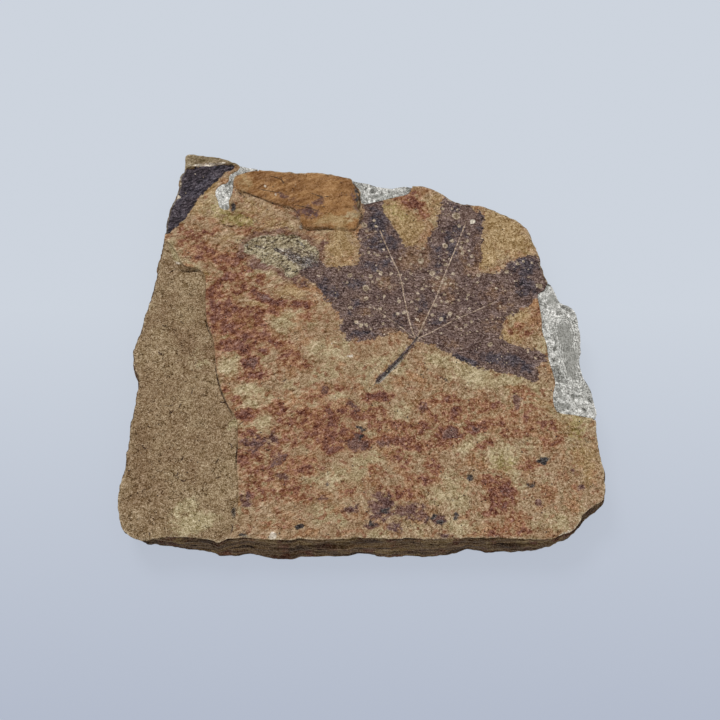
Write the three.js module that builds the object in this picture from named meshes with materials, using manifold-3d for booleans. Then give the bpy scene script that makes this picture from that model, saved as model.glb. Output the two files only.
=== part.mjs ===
// A fossil maple leaf on a split slab of sandstone, lying on its bedding plane.
// The stone is one natural piece: a lower bed, bare along the left edge, an upper bed that carries the
// leaf, and a thin orange flake at the back. The leaf and a scrap of a second leaf are dark films set
// in their own prints, and three chips in the stone are made good with grey plaster.
// Millimetres, +Z up. The origin is under the middle of the slab, on the surface that it rests on.
import * as THREE from "three";
import { mergeVertices } from "three/addons/utils/BufferGeometryUtils.js";
import Module from "manifold-3d";

// Heights of the bedding planes above the surface that the slab rests on.
const BED_TOP = 12.8;
const STEP_FADE = 0.75;
const LAYER_TOP = 14.0;
const CORNER_TOP = 14.7;
const FLAKE_TOP = 15.1;
const ROLL_HEIGHT = 0.35;
const OVER_ALL = 24;
const BELOW_ALL = -3;

// The beds that show as ledges in the broken sides, from the foot up, and how far they step in or out.
const LEDGES = [2.4, 5.4, 8.2, 11.0];
const LEDGE_STEP = 0.5;
const LEDGE_DEPTH = 0.9;
const LEDGE_WAVE = 13;
const EDGE_CHIP = 0.5;
const EDGE_WAVE = 5;
const EDGE_SPACING = 3.8;

// Under the slab: three flat spots that it stands on, x and y, and the shallow hollow around them.
const FEET = [
  [-56, -48],
  [58, -42],
  [-6, 50],
];
const FOOT_RADIUS = 13;
const FOOT_FADE = 16;
const HOLLOW_DEPTH = 1.0;
const HOLLOW_ROUGHNESS = 0.5;
const HOLLOW_WAVE = 21;

// Films, prints and plaster.
const GAP = 0.3;
const FILM_DEPTH = 0.75;
const FILM_PROUD = 0.15;
const VEIN_PROUD = 0.5;
const VEIN_ROOT = 0.3;
const PETIOLE_PROUD = 0.75;
const CHIP_FLOOR = 6.0;
const CRACK_FILL_FLOOR = 11.0;
const PLASTER_LUMP = 0.45;
const PLASTER_WAVE = 6;

const SLAB_CELL = 8;
const PLASTER_CELL = 2.6;
const REACH = { x: 92, y: 88 };
const SEED = 41;

const COLOURS = {
  stone: 0xa9875b,
  film: 0x4d3a3c,
  plaster: 0xb9b8ae,
};

// The top edge of the slab, anticlockwise from its back left corner: x, y and how far the foot of the
// side stands out beyond that edge, less than nothing where the side is undercut.
const SLAB_EDGE = [
  [-68.6, 80.9, -1.0],
  [-69.3, 77.8, -1.0],
  [-69.0, 74.2, -0.5],
  [-70.7, 71.2, 0.0],
  [-71.3, 67.6, 0.3],
  [-72.0, 61.9, 0.0],
  [-74.1, 56.2, -0.5],
  [-75.6, 46.6, -0.5],
  [-76.0, 42.8, 0.2],
  [-77.1, 34.0, 0.4],
  [-77.8, 26.2, 0.0],
  [-80.1, 14.8, 0.0],
  [-82.5, 5.0, 0.3],
  [-84.9, -5.0, -0.5],
  [-83.8, -11.2, 0.0],
  [-81.8, -15.8, 0.8],
  [-82.6, -24.0, 0.4],
  [-84.0, -35.4, 0.0],
  [-84.4, -43.5, -0.3],
  [-85.3, -52.5, -0.8],
  [-86.9, -63.4, -1.8],
  [-85.7, -70.4, -2.6],
  [-83.4, -75.4, -3.5],
  [-80.9, -77.6, -4.0],
  [-76.0, -78.7, -3.4],
  [-69.6, -77.3, -1.3],
  [-62.0, -77.6, 0.0],
  [-55.5, -78.3, -0.4],
  [-50.0, -79.2, 0.3],
  [-46.5, -78.2, 1.6],
  [-39.0, -78.0, 1.3],
  [-30.0, -78.6, 2.1],
  [-18.0, -78.5, 1.6],
  [-6.0, -78.2, 2.2],
  [1.5, -77.9, 1.4],
  [8.0, -78.1, 2.6],
  [20.0, -78.0, 2.4],
  [30.0, -77.9, 1.4],
  [38.5, -78.0, -0.9],
  [46.0, -77.8, 1.0],
  [58.0, -78.1, 0.4],
  [66.0, -78.3, -1.8],
  [71.0, -76.9, -2.3],
  [75.2, -74.2, -2.0],
  [78.2, -69.6, -0.9],
  [81.4, -66.3, -1.0],
  [85.0, -63.9, -1.8],
  [86.3, -59.5, -1.4],
  [86.2, -52.0, -0.6],
  [85.3, -42.0, 0.3],
  [84.6, -31.5, 0.2],
  [83.6, -24.5, -0.4],
  [81.9, -18.8, -0.6],
  [79.6, -13.0, 0.0],
  [79.6, -6.0, 0.2],
  [80.3, 0.0, 0.2],
  [79.5, 8.0, 0.0],
  [77.2, 12.6, -0.5],
  [73.4, 15.4, 0.0],
  [71.4, 19.6, 0.2],
  [70.1, 24.2, 0.2],
  [68.6, 29.9, 0.3],
  [67.7, 34.5, 0.0],
  [65.6, 40.7, 0.0],
  [64.0, 46.2, -0.3],
  [61.2, 49.6, -0.5],
  [57.4, 52.4, -1.0],
  [50.1, 55.9, -0.6],
  [44.5, 57.9, 0.0],
  [38.7, 58.7, 0.5],
  [32.4, 62.2, 0.3],
  [26.0, 66.0, -0.5],
  [20.3, 67.1, -1.2],
  [14.0, 65.2, -0.6],
  [7.7, 65.2, 0.2],
  [1.0, 67.2, 0.0],
  [-4.4, 69.5, -0.4],
  [-9.0, 70.8, -0.8],
  [-19.2, 72.2, -0.5],
  [-30.0, 72.7, 0.0],
  [-39.0, 74.3, 0.4],
  [-46.8, 75.9, 0.2],
  [-54.0, 78.8, 0.5],
  [-61.0, 80.0, 0.2],
];

// Where the upper bed ends along the left, from the slab's left edge down to its front edge.
const BED_STEP = [
  [-77.5, 44.0],
  [-75.6, 42.9],
  [-72.9, 40.3],
  [-70.8, 37.3],
  [-69.3, 33.7],
  [-66.9, 31.2],
  [-62.4, 30.3],
  [-60.0, 28.0],
  [-59.1, 24.0],
  [-59.0, 17.0],
  [-57.9, 7.6],
  [-55.6, 1.0],
  [-54.6, -4.5],
  [-53.6, -12.5],
  [-51.6, -20.0],
  [-48.7, -27.4],
  [-45.8, -32.0],
  [-44.8, -41.0],
  [-44.8, -50.0],
  [-43.9, -61.0],
  [-44.2, -68.5],
  [-45.6, -75.0],
  [-48.4, -82.0],
];

// The orange flake: its broken edge, from the back edge down the left, along the front and up the right.
const FLAKE_EDGE = [
  [-39.5, 77.0],
  [-40.2, 74.1],
  [-44.6, 72.9],
  [-49.3, 70.4],
  [-49.7, 66.0],
  [-45.6, 64.0],
  [-38.4, 61.0],
  [-33.6, 58.9],
  [-26.7, 56.5],
  [-24.2, 53.4],
  [-23.0, 48.6],
  [-19.0, 47.4],
  [-14.4, 47.7],
  [-6.1, 46.4],
  [-2.6, 47.1],
  [-1.4, 49.4],
  [-0.5, 53.0],
  [-2.0, 57.4],
  [-1.1, 61.0],
  [-1.4, 64.2],
  [-3.2, 66.8],
  [-4.3, 70.0],
  [-4.3, 77.0],
];

// The tan scrap of the next bed that still covers the back left corner.
const CORNER_EDGE = [
  [-73.0, 84.0],
  [-73.0, 74.8],
  [-69.0, 75.0],
  [-65.2, 75.4],
  [-62.8, 76.7],
  [-58.0, 76.9],
  [-52.0, 76.5],
  [-48.6, 76.2],
  [-48.6, 84.0],
];

// The leaf blade, anticlockwise from its base, lobe by lobe.
const LEAF_EDGE = [
  [19.6, -0.4],
  [23.5, -1.6],
  [31.4, -5.6],
  [38.4, -9.8],
  [49.8, -13.5],
  [60.0, -15.9],
  [63.8, -17.6],
  [65.3, -15.0],
  [65.3, -10.8],
  [68.2, -9.0],
  [68.0, -6.0],
  [63.8, -4.5],
  [56.6, -2.4],
  [51.4, 0.9],
  [52.6, 5.0],
  [54.0, 8.7],
  [60.9, 12.8],
  [63.8, 16.2],
  [68.2, 17.8],
  [73.0, 23.0],
  [71.5, 34.9],
  [64.5, 35.4],
  [60.2, 34.9],
  [56.0, 32.7],
  [52.2, 29.0],
  [47.2, 27.8],
  [43.9, 29.8],
  [45.6, 36.2],
  [46.1, 43.8],
  [46.8, 49.0],
  [46.4, 54.2],
  [43.4, 56.4],
  [40.9, 61.0],
  [33.8, 64.0],
  [31.5, 59.6],
  [29.6, 53.5],
  [28.6, 49.0],
  [25.8, 44.5],
  [23.6, 39.4],
  [16.8, 40.2],
  [14.0, 45.6],
  [11.3, 50.0],
  [8.4, 55.2],
  [7.0, 61.5],
  [0.3, 61.5],
  [0.4, 55.0],
  [-0.6, 49.6],
  [-1.0, 41.6],
  [-0.9, 34.0],
  [-4.2, 30.6],
  [-12.6, 30.8],
  [-16.0, 34.2],
  [-20.0, 37.9],
  [-28.0, 38.6],
  [-32.0, 38.0],
  [-27.0, 33.0],
  [-23.0, 27.4],
  [-18.0, 23.8],
  [-14.0, 17.1],
  [-8.6, 10.2],
  [-6.9, 7.0],
  [-7.8, 3.6],
  [-5.6, 0.3],
  [2.0, -0.4],
  [8.3, 1.3],
  [14.2, 3.0],
];

// The leaf stalk and the five main veins, each from the leaf's base outwards.
const PETIOLE = [
  [20.6, 0.6],
  [17.2, -4.2],
  [11.8, -10.6],
  [5.6, -17.4],
];
const VEINS = [
  [[20.2, -0.2], [25.6, 2.6], [37.1, 9.2], [46.5, 13.9], [58.0, 20.0], [65.0, 24.5]],
  [[20.2, -0.2], [22.7, 5.6], [27.8, 17.1], [32.4, 30.1], [36.4, 40.2], [40.2, 50.5]],
  [[20.2, -0.2], [18.2, 5.2], [16.2, 15.7], [14.4, 26.5], [9.6, 39.4], [4.7, 52.4]],
  [[20.2, -0.2], [15.0, 4.4], [9.8, 8.5], [3.3, 14.2], [-6.0, 22.0], [-15.0, 29.4]],
  [[20.2, -0.2], [28.0, -2.6], [38.0, -5.8], [50.0, -9.2], [61.0, -13.6]],
];
const PETIOLE_WIDTH = { base: 1.5, tip: 1.8 };
const VEIN_WIDTH = { base: 0.8, tip: 0.4 };

// The scrap of a second leaf in the back left corner. Its left side is the slab's own edge.
const SCRAP_EDGE = [
  [-73.5, 74.6],
  [-69.0, 74.3],
  [-65.2, 74.7],
  [-62.8, 76.0],
  [-58.0, 76.2],
  [-50.0, 75.6],
  [-53.4, 73.6],
  [-58.2, 68.2],
  [-63.6, 62.2],
  [-67.8, 53.8],
  [-74.6, 46.0],
  [-79.0, 45.0],
  [-79.0, 60.0],
];

// The chips. The first number of points follows the break in the stone and the rest lies outside it.
const RIGHT_CHIP = [
  [88.0, -32.4],
  [83.4, -32.0],
  [77.4, -30.9],
  [71.1, -29.8],
  [69.9, -27.0],
  [69.9, -22.2],
  [70.9, -18.6],
  [70.5, -15.0],
  [69.0, -8.3],
  [68.5, -1.8],
  [67.2, 3.3],
  [67.2, 9.0],
  [66.5, 15.3],
  [66.3, 18.9],
  [68.8, 20.8],
  [70.3, 23.6],
  [75.0, 25.0],
  [90.0, 12.0],
];
const RIGHT_PLASTER = [
  [84.9, -31.9],
  [84.5, -26.4],
  [83.8, -21.8],
  [82.3, -18.2],
  [80.7, -14.2],
  [80.3, -9.8],
  [81.0, -4.6],
  [81.3, 0.8],
  [80.5, 8.0],
  [79.3, 12.2],
  [76.7, 14.4],
  [74.5, 15.3],
  [73.1, 18.6],
  [70.6, 23.2],
  [62.0, 23.0],
  [62.0, -33.0],
];
const BACK_CHIP = [
  [19.8, 72.0],
  [19.3, 65.6],
  [18.4, 63.3],
  [14.0, 61.9],
  [6.4, 59.7],
  [0.2, 58.5],
  [-0.6, 60.9],
  [-0.6, 64.2],
  [-2.6, 67.0],
  [-3.6, 70.0],
  [-3.6, 74.0],
];
const BACK_PLASTER = [
  [22.0, 58.0],
  [22.0, 65.0],
  [18.2, 66.2],
  [14.0, 66.1],
  [11.5, 65.6],
  [7.7, 66.1],
  [3.9, 67.3],
  [0.0, 68.3],
  [-3.2, 69.0],
  [-6.0, 70.4],
  [-8.0, 58.0],
];
const CRACK_FILL = [
  [-40.4, 77.5],
  [-40.6, 74.5],
  [-44.9, 73.3],
  [-49.7, 71.0],
  [-50.1, 66.0],
  [-50.6, 62.6],
  [-51.6, 60.0],
  [-51.4, 56.2],
  [-54.8, 56.8],
  [-56.0, 60.6],
  [-57.0, 63.4],
  [-55.8, 66.4],
  [-52.2, 68.4],
  [-51.6, 71.8],
  [-48.2, 74.2],
  [-47.0, 77.5],
];

// Open cracks in the upper bed and along the flake: their line, width and floor.
const CRACKS = [
  { line: [[-69.5, 30.6], [-66.0, 29.9], [-61.5, 30.6]], width: 0.9, floor: 11.4 },
  { line: [[-46.0, 64.2], [-38.4, 61.1], [-33.0, 58.5], [-26.5, 56.4]], width: 0.6, floor: 13.2 },
  { line: [[-23.2, 52.0], [-23.4, 48.4], [-18.8, 47.2], [-14.4, 47.6], [-2.4, 46.8]], width: 0.6, floor: 13.0 },
];

const wasm = await Module();
wasm.setup();

// Repeatable value noise, from -1 to 1, smooth over a cell of 1.
function lattice(i, j, seed) {
  const s = Math.sin(i * 127.1 + j * 311.7 + (seed + SEED) * 74.7) * 43758.5453;
  return 2 * (s - Math.floor(s)) - 1;
}
function noise(x, y, seed) {
  const i = Math.floor(x);
  const j = Math.floor(y);
  const u = THREE.MathUtils.smoothstep(x - i, 0, 1);
  const v = THREE.MathUtils.smoothstep(y - j, 0, 1);
  const near = THREE.MathUtils.lerp(lattice(i, j, seed), lattice(i + 1, j, seed), u);
  const far = THREE.MathUtils.lerp(lattice(i, j + 1, seed), lattice(i + 1, j + 1, seed), u);
  return THREE.MathUtils.lerp(near, far, v);
}

// The slow roll that every bedding plane shares.
function roll(x, y) {
  const long = Math.sin(x / 31 + 0.6) * Math.cos(y / 37 - 0.4);
  const short = Math.sin((x + 0.7 * y) / 17 + 1.1);
  return ROLL_HEIGHT * (0.7 * long + 0.3 * short);
}
// The upper bed thins towards the front left, where the step in front of the lower bed dies out.
function bedSurface(x, y) {
  return BED_TOP + roll(x, y) + STEP_FADE * THREE.MathUtils.smoothstep(-y, -20, 80);
}
function layerSurface(x, y) {
  return LAYER_TOP + roll(x, y);
}
function plasterSurface(x, y) {
  return LAYER_TOP + roll(x, y) - 0.1 + PLASTER_LUMP * noise(x / PLASTER_WAVE, y / PLASTER_WAVE, 7);
}
function underside(x, y) {
  const toFoot = Math.min(...FEET.map(([fx, fy]) => Math.hypot(x - fx, y - fy)));
  const rise = THREE.MathUtils.smoothstep(toFoot, FOOT_RADIUS, FOOT_RADIUS + FOOT_FADE);
  return rise * (HOLLOW_DEPTH + HOLLOW_ROUGHNESS * noise(x / HOLLOW_WAVE, y / HOLLOW_WAVE, 3));
}

function solid(geometry) {
  const g = geometry.clone();
  g.deleteAttribute("normal");
  g.deleteAttribute("uv");
  const merged = mergeVertices(g, 1e-4);
  const vertProperties = new Float32Array(merged.attributes.position.array);
  const triVerts = new Uint32Array(merged.index.array);
  return new wasm.Manifold(new wasm.Mesh({ numProp: 3, vertProperties, triVerts }));
}

// A block over a rectangle, its top and its underside each given by a height function.
function block(top, bottom, { x0, y0, x1, y1 }, cell) {
  const across = Math.round((x1 - x0) / cell);
  const along = Math.round((y1 - y0) / cell);
  const box = new THREE.BoxGeometry(x1 - x0, y1 - y0, 1, across, along, 1);
  box.translate((x0 + x1) / 2, (y0 + y1) / 2, 0);
  const p = box.attributes.position;
  for (let i = 0; i < p.count; i++) {
    const height = p.getZ(i) > 0 ? top : bottom;
    p.setZ(i, height(p.getX(i), p.getY(i)));
  }
  return solid(box);
}
const WHOLE = { x0: -REACH.x, y0: -REACH.y, x1: REACH.x, y1: REACH.y };

// A closed loop of points as a smooth curve through them, with points about `spacing` apart.
function smoothLoop(points, spacing) {
  const corners = points.map(([x, y, lean = 0]) => new THREE.Vector3(x, y, lean));
  const curve = new THREE.CatmullRomCurve3(corners, true, "centripetal");
  const steps = Math.round(curve.getLength() / spacing);
  return curve.getSpacedPoints(steps).slice(0, steps);
}

// Moves each point of an anticlockwise loop outwards by a distance, or by a function of the point.
function grow(loop, distance) {
  const n = loop.length;
  return loop.map((p, i) => {
    const along = loop[(i + 1) % n].clone().sub(loop[(i + n - 1) % n]);
    const out = new THREE.Vector2(along.y, -along.x).normalize();
    const d = typeof distance === "function" ? distance(p, i) : distance;
    return new THREE.Vector3(p.x + out.x * d, p.y + out.y * d, p.z);
  });
}

function prism(loop, floor, ceiling) {
  const shape = new THREE.Shape(loop.map((p) => new THREE.Vector2(p.x, p.y)));
  const g = new THREE.ExtrudeGeometry(shape, { depth: ceiling - floor, bevelEnabled: false });
  g.translate(0, 0, floor);
  return solid(g);
}
function outlinePrism(points, growth = 0, floor = BELOW_ALL, ceiling = OVER_ALL) {
  return prism(grow(anticlockwise(smoothLoop(points, EDGE_SPACING / 2)), growth), floor, ceiling);
}
function anticlockwise(loop) {
  return THREE.ShapeUtils.isClockWise(loop) ? loop.slice().reverse() : loop;
}

// A tapering strip along a line of points, as a prism.
function strip(points, width, floor = BELOW_ALL, ceiling = OVER_ALL) {
  const curve = new THREE.CatmullRomCurve3(points.map(([x, y]) => new THREE.Vector3(x, y, 0)));
  const steps = Math.max(4, Math.round(curve.getLength() / 5));
  const line = curve.getSpacedPoints(steps);
  const sides = { left: [], right: [] };
  line.forEach((p, i) => {
    const t = curve.getTangentAt(i / steps);
    const half = THREE.MathUtils.lerp(width.base, width.tip, i / steps) / 2;
    sides.left.push(new THREE.Vector3(p.x - t.y * half, p.y + t.x * half, 0));
    sides.right.push(new THREE.Vector3(p.x + t.y * half, p.y - t.x * half, 0));
  });
  return prism(anticlockwise([...sides.left, ...sides.right.reverse()]), floor, ceiling);
}

// A stack of equal rings joined into one closed body, capped at both ends.
function loft(rings) {
  const n = rings[0].length;
  const positions = rings.flat().flatMap((p) => [p.x, p.y, p.z]);
  const index = [];
  for (let k = 0; k + 1 < rings.length; k++)
    for (let i = 0; i < n; i++) {
      const a = k * n + i;
      const b = k * n + ((i + 1) % n);
      index.push(a, b, b + n, a, b + n, a + n);
    }
  const flat = (ring) => ring.map((p) => new THREE.Vector2(p.x, p.y));
  const last = (rings.length - 1) * n;
  for (const [a, b, c] of THREE.ShapeUtils.triangulateShape(flat(rings[0]), [])) index.push(a, c, b);
  for (const [a, b, c] of THREE.ShapeUtils.triangulateShape(flat(rings.at(-1)), []))
    index.push(last + a, last + b, last + c);
  const g = new THREE.BufferGeometry();
  g.setAttribute("position", new THREE.Float32BufferAttribute(positions, 3));
  g.setIndex(index);
  return solid(g);
}

// The broken sides: the top edge carried down bed by bed, each bed snapped off at its own distance.
function brokenSides() {
  const edge = anticlockwise(smoothLoop(SLAB_EDGE, EDGE_SPACING));
  const chipped = grow(edge, (p, i) => EDGE_CHIP * noise(i / (EDGE_WAVE / EDGE_SPACING), 0, 11));
  const ringAt = (z, bed) => {
    const fall = THREE.MathUtils.clamp(1 - z / LAYER_TOP, 0, 1);
    const out = (p, i) => {
      const snap = LEDGE_DEPTH * noise((i * EDGE_SPACING) / LEDGE_WAVE, bed * 3.7, 12);
      return p.z * fall + (bed === LEDGES.length ? 0 : snap);
    };
    return grow(chipped, out).map((p) => new THREE.Vector3(p.x, p.y, z));
  };
  const rings = [ringAt(BELOW_ALL, 0)];
  LEDGES.forEach((z, bed) => rings.push(ringAt(z, bed), ringAt(z + LEDGE_STEP, bed + 1)));
  rings.push(ringAt(OVER_ALL, LEDGES.length));
  return loft(rings);
}

const sides = brokenSides();
const raised = (surface, by) => (x, y) => surface(x, y) + by;
const flat = (z) => () => z;
const above = (surface, box = WHOLE, cell = SLAB_CELL) => block(flat(OVER_ALL), surface, box, cell);
const between = (bottom, top, box = WHOLE, cell = SLAB_CELL) => block(top, bottom, box, cell);

// The stone before the prints and chips are cut.
function wholeStone() {
  const rightOfStep = [...BED_STEP, [REACH.x, -REACH.y], [REACH.x, REACH.y], [-REACH.x, REACH.y], [-REACH.x, 50]];
  const bed = block(bedSurface, underside, WHOLE, SLAB_CELL);
  const root = flat(BED_TOP - 5);
  const upper = outlinePrism(rightOfStep).intersect(between(root, layerSurface));
  const flakeTop = raised(layerSurface, FLAKE_TOP - LAYER_TOP);
  const cornerTop = raised(layerSurface, CORNER_TOP - LAYER_TOP);
  const flake = outlinePrism(FLAKE_EDGE).intersect(between(root, flakeTop));
  const corner = outlinePrism(CORNER_EDGE).intersect(between(root, cornerTop));
  return bed.add(upper).add(flake).add(corner).intersect(sides);
}

// The leaf blade with its stalk, as it shows from above, grown by a margin.
function leafOutline(growth) {
  const width = { base: PETIOLE_WIDTH.base + 2 * growth, tip: PETIOLE_WIDTH.tip + 2 * growth };
  const [before, end] = PETIOLE.slice(-2).map(([x, y]) => new THREE.Vector2(x, y));
  const longer = end.clone().add(end.clone().sub(before).setLength(growth));
  return outlinePrism(LEAF_EDGE, growth).add(strip([...PETIOLE.slice(0, -1), longer.toArray()], width));
}
const filmFloor = raised(layerSurface, -FILM_DEPTH);
const filmTop = raised(layerSurface, FILM_PROUD);
const film = (outline) => outline.intersect(between(filmFloor, filmTop)).intersect(sides);
const print = (outline) => outline.intersect(above(raised(layerSurface, -FILM_DEPTH - GAP)));

const chips = {
  right: outlinePrism(RIGHT_CHIP, 0, CHIP_FLOOR),
  back: outlinePrism(BACK_CHIP, 0, CHIP_FLOOR),
  crack: outlinePrism(CRACK_FILL, 0, CRACK_FILL_FLOOR),
};
const allChips = chips.right.add(chips.back).add(chips.crack);
const beyond = (points) => outlinePrism(points, GAP, LAYER_TOP - FILM_DEPTH - 2);

function makeStone() {
  const prints = print(leafOutline(GAP)).add(print(outlinePrism(SCRAP_EDGE, GAP)));
  const overlying = outlinePrism(FLAKE_EDGE).add(outlinePrism(CORNER_EDGE));
  let stone = wholeStone().subtract(prints.subtract(overlying)).subtract(allChips);
  for (const { line, width, floor } of CRACKS)
    stone = stone.subtract(strip(line, { base: width, tip: width / 2 }, floor));
  return stone;
}

function makeLeaf() {
  const outline = leafOutline(0);
  const ridge = (line, width, proud) => {
    const band = between(raised(layerSurface, -VEIN_ROOT), raised(layerSurface, proud));
    return strip(line, width).intersect(outline).intersect(band);
  };
  let leaf = film(outline).subtract(beyond(FLAKE_EDGE)).subtract(allChips);
  for (const vein of VEINS) leaf = leaf.add(ridge(vein, VEIN_WIDTH, VEIN_PROUD));
  leaf = leaf.add(ridge(PETIOLE, PETIOLE_WIDTH, PETIOLE_PROUD));
  return largest(leaf);
}

function makeScrap() {
  return largest(film(outlinePrism(SCRAP_EDGE)).subtract(beyond(CORNER_EDGE)).subtract(allChips));
}

// Plaster pressed into a chip: the chip's own shape less the gap, cut to the plaster's outer edge.
function makePlaster(chip, outer, floor, box) {
  const body = outlinePrism(chip, -GAP).intersect(between(flat(floor + GAP), plasterSurface, box, PLASTER_CELL));
  return largest(outer ? body.intersect(outlinePrism(outer)) : body.intersect(sides));
}

// The main body of a cut, without the crumbs that the cut leaves.
function largest(made) {
  const bodies = made.decompose();
  return bodies.sort((a, b) => b.volume() - a.volume())[0];
}

function mesh(name, made, colour, roughness) {
  const m = made.getMesh();
  const g = new THREE.BufferGeometry();
  const positions = [];
  for (let i = 0; i < m.numVert; i++)
    positions.push(...m.vertProperties.subarray(i * m.numProp, i * m.numProp + 3));
  g.setAttribute("position", new THREE.Float32BufferAttribute(positions, 3));
  g.setIndex([...m.triVerts]);
  g.computeVertexNormals();
  const material = new THREE.MeshStandardMaterial({ color: colour, roughness, metalness: 0, flatShading: true });
  const made3 = new THREE.Mesh(g, material);
  made3.name = name;
  return made3;
}

const RIGHT_BOX = { x0: 62, y0: -36, x1: 88, y1: 28 };
const BACK_BOX = { x0: -8, y0: 56, x1: 24, y1: 76 };
const CRACK_BOX = { x0: -60, y0: 52, x1: -36, y1: 80 };

const specimen = new THREE.Group();
specimen.add(
  mesh("stone_slab", largest(makeStone()), COLOURS.stone, 0.92),
  mesh("maple_leaf", makeLeaf(), COLOURS.film, 0.7),
  mesh("leaf_scrap", makeScrap(), COLOURS.film, 0.65),
  mesh("plaster_right", makePlaster(RIGHT_CHIP, RIGHT_PLASTER, CHIP_FLOOR, RIGHT_BOX), COLOURS.plaster, 0.85),
  mesh("plaster_back", makePlaster(BACK_CHIP, BACK_PLASTER, CHIP_FLOOR, BACK_BOX), COLOURS.plaster, 0.85),
  mesh("plaster_crack", makePlaster(CRACK_FILL, null, CRACK_FILL_FLOOR, CRACK_BOX), COLOURS.plaster, 0.85),
);

export default specimen;
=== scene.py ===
"""A fossil maple leaf on a split slab of sandstone, with its stains, sand grains and plaster repairs.

Places and sizes below are in millimetres in the model's frame: the origin is under the middle of the
slab, +X to the right, +Y to the back and +Z up. They become metres when a mesh is made.
"""
import math
import random
from types import SimpleNamespace

import bmesh
import bpy
import numpy as np
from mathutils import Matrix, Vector
from mathutils.geometry import delaunay_2d_cdt


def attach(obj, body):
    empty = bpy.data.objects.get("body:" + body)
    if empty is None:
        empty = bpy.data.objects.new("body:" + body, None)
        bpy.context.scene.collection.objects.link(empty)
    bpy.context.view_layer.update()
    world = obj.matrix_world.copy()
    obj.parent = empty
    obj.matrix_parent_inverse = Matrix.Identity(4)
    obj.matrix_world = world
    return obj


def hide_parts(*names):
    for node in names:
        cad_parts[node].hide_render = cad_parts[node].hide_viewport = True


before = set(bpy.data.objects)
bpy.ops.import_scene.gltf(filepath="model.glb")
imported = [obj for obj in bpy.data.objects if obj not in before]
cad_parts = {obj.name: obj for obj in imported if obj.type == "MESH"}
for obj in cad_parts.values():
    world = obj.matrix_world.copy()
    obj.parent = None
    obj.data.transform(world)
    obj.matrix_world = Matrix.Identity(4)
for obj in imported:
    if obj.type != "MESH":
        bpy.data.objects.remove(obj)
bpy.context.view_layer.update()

MM = 0.001

# Bedding planes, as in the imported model, and the width over which a step falls.
BED_TOP = 12.8
STEP_FADE = 0.75
LAYER_TOP = 14.0
CORNER_RISE = 0.7
FLAKE_RISE = 1.1
ROLL_HEIGHT = 0.35
STEP_WIDTH = 0.25

# Roughness on the planes, in layers: height, size, seed and octaves. Then that of the bare patch.
BED_GRAIN = ((0.07, 3.5, 21, 3), (0.05, 1.3, 22, 2))
LAYER_GRAIN = ((0.09, 5, 23, 3), (0.08, 1.5, 24, 2))
PATCH_RELIEF = 0.35
PATCH_SINK = 0.1

# Thin sheets that have split away: the levels of a slow roughness at which each one ends.
SHEET_ENDS = (-0.55, -0.1, 0.35)
SHEET_RISE = 0.2
SHEETS_SINK = 0.3

# The chips that hold plaster, each with the height of its floor, and the width of their walls.
CHIP_FLOORS = {"right_chip": 6.0, "back_chip": 6.0, "crack_fill": 11.0}
CHIP_WALL = 0.12

# A pit beside the crack: its place, half width, half length and depth.
PIT = (-50.0, 57.8, 1.1, 2.2, 1.3)

# The films lie in prints in the stone and keep clear of its lip, the flake and the chips.
PRINT_DEPTH = 0.45
FILM_OVER = 0.05
FILM_UNDER = 0.35
FILM_INSET = 0.5
FILM_CLEAR = 0.15
VEIN_RISE = 0.16
VEIN_SPREAD = 0.5
STALK_RISE = 0.3

# The plaster: how far it keeps from the chip's wall and floor, its strokes and lumps, and a hole in it.
PLASTER_CLEAR = 0.05
PLASTER_LIFT = 0.1
STROKE_SPACING = 2.6
STROKE_HEIGHT = 0.3
LUMP_HEIGHT = 0.35
LUMP_SIZE = 5
PLASTER_HOLE = (4.5, 64.5)
PLASTER_HOLE_DEPTH = 1.6

# The broken sides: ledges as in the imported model, and below the edge sheets of various thicknesses.
LEDGES = (2.4, 5.4, 8.2, 11.0)
LEDGE_DEPTH = 0.9
LEDGE_WAVE = 13
EDGE_DEPTH = 0.9
SHEETS = (0.45, 0.6, 0.8, 1.1)
THINNEST_SHEET = 0.35
# Each sheet's own broken face, in layers: height, wave, shift from sheet to sheet and seed.
SHEET_FACES = ((0.42, 7.0, 2.3, 16), (0.24, 2.3, 3.1, 17), (0.12, 0.9, 4.7, 20))

# The top edge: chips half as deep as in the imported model, finer nibbles (height, wave, seed), and wear.
EDGE_CHIP = 0.25
EDGE_WAVE = 5
NIBBLES = ((0.22, 2.1, 14), (0.12, 0.9, 15))
WORN_WIDTH = 1.3
WORN_DEPTH = 0.25
WORN_CHANGE = 0.3

# The underside: three flat feet, and a shallow rough hollow between them.
FEET = ((-56, -48), (58, -42), (-6, 50))
FOOT_RADIUS = 13
FOOT_FADE = 16
HOLLOW_DEPTH = 1.0
HOLLOW_ROUGHNESS = 0.5
HOLLOW_WAVE = 21

# Every noise adds this to its own seed.
SEED = 41

# How fine the meshes are.
TOP_SPACING = 0.62
LIP_SPACING = 0.8
FILM_SPACING = 0.42
PLASTER_SPACING = 0.4
UNDER_SPACING = 4.0

# The finest pattern in the materials. It stands for sand grains of about 0.3 mm and for grit in the
# plaster, and is drawn a little coarser than they are, because it would be too fine to show.
GRAIN = 0.42

# Distances to outlines are measured this far out.
REACH = 4.0

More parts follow.
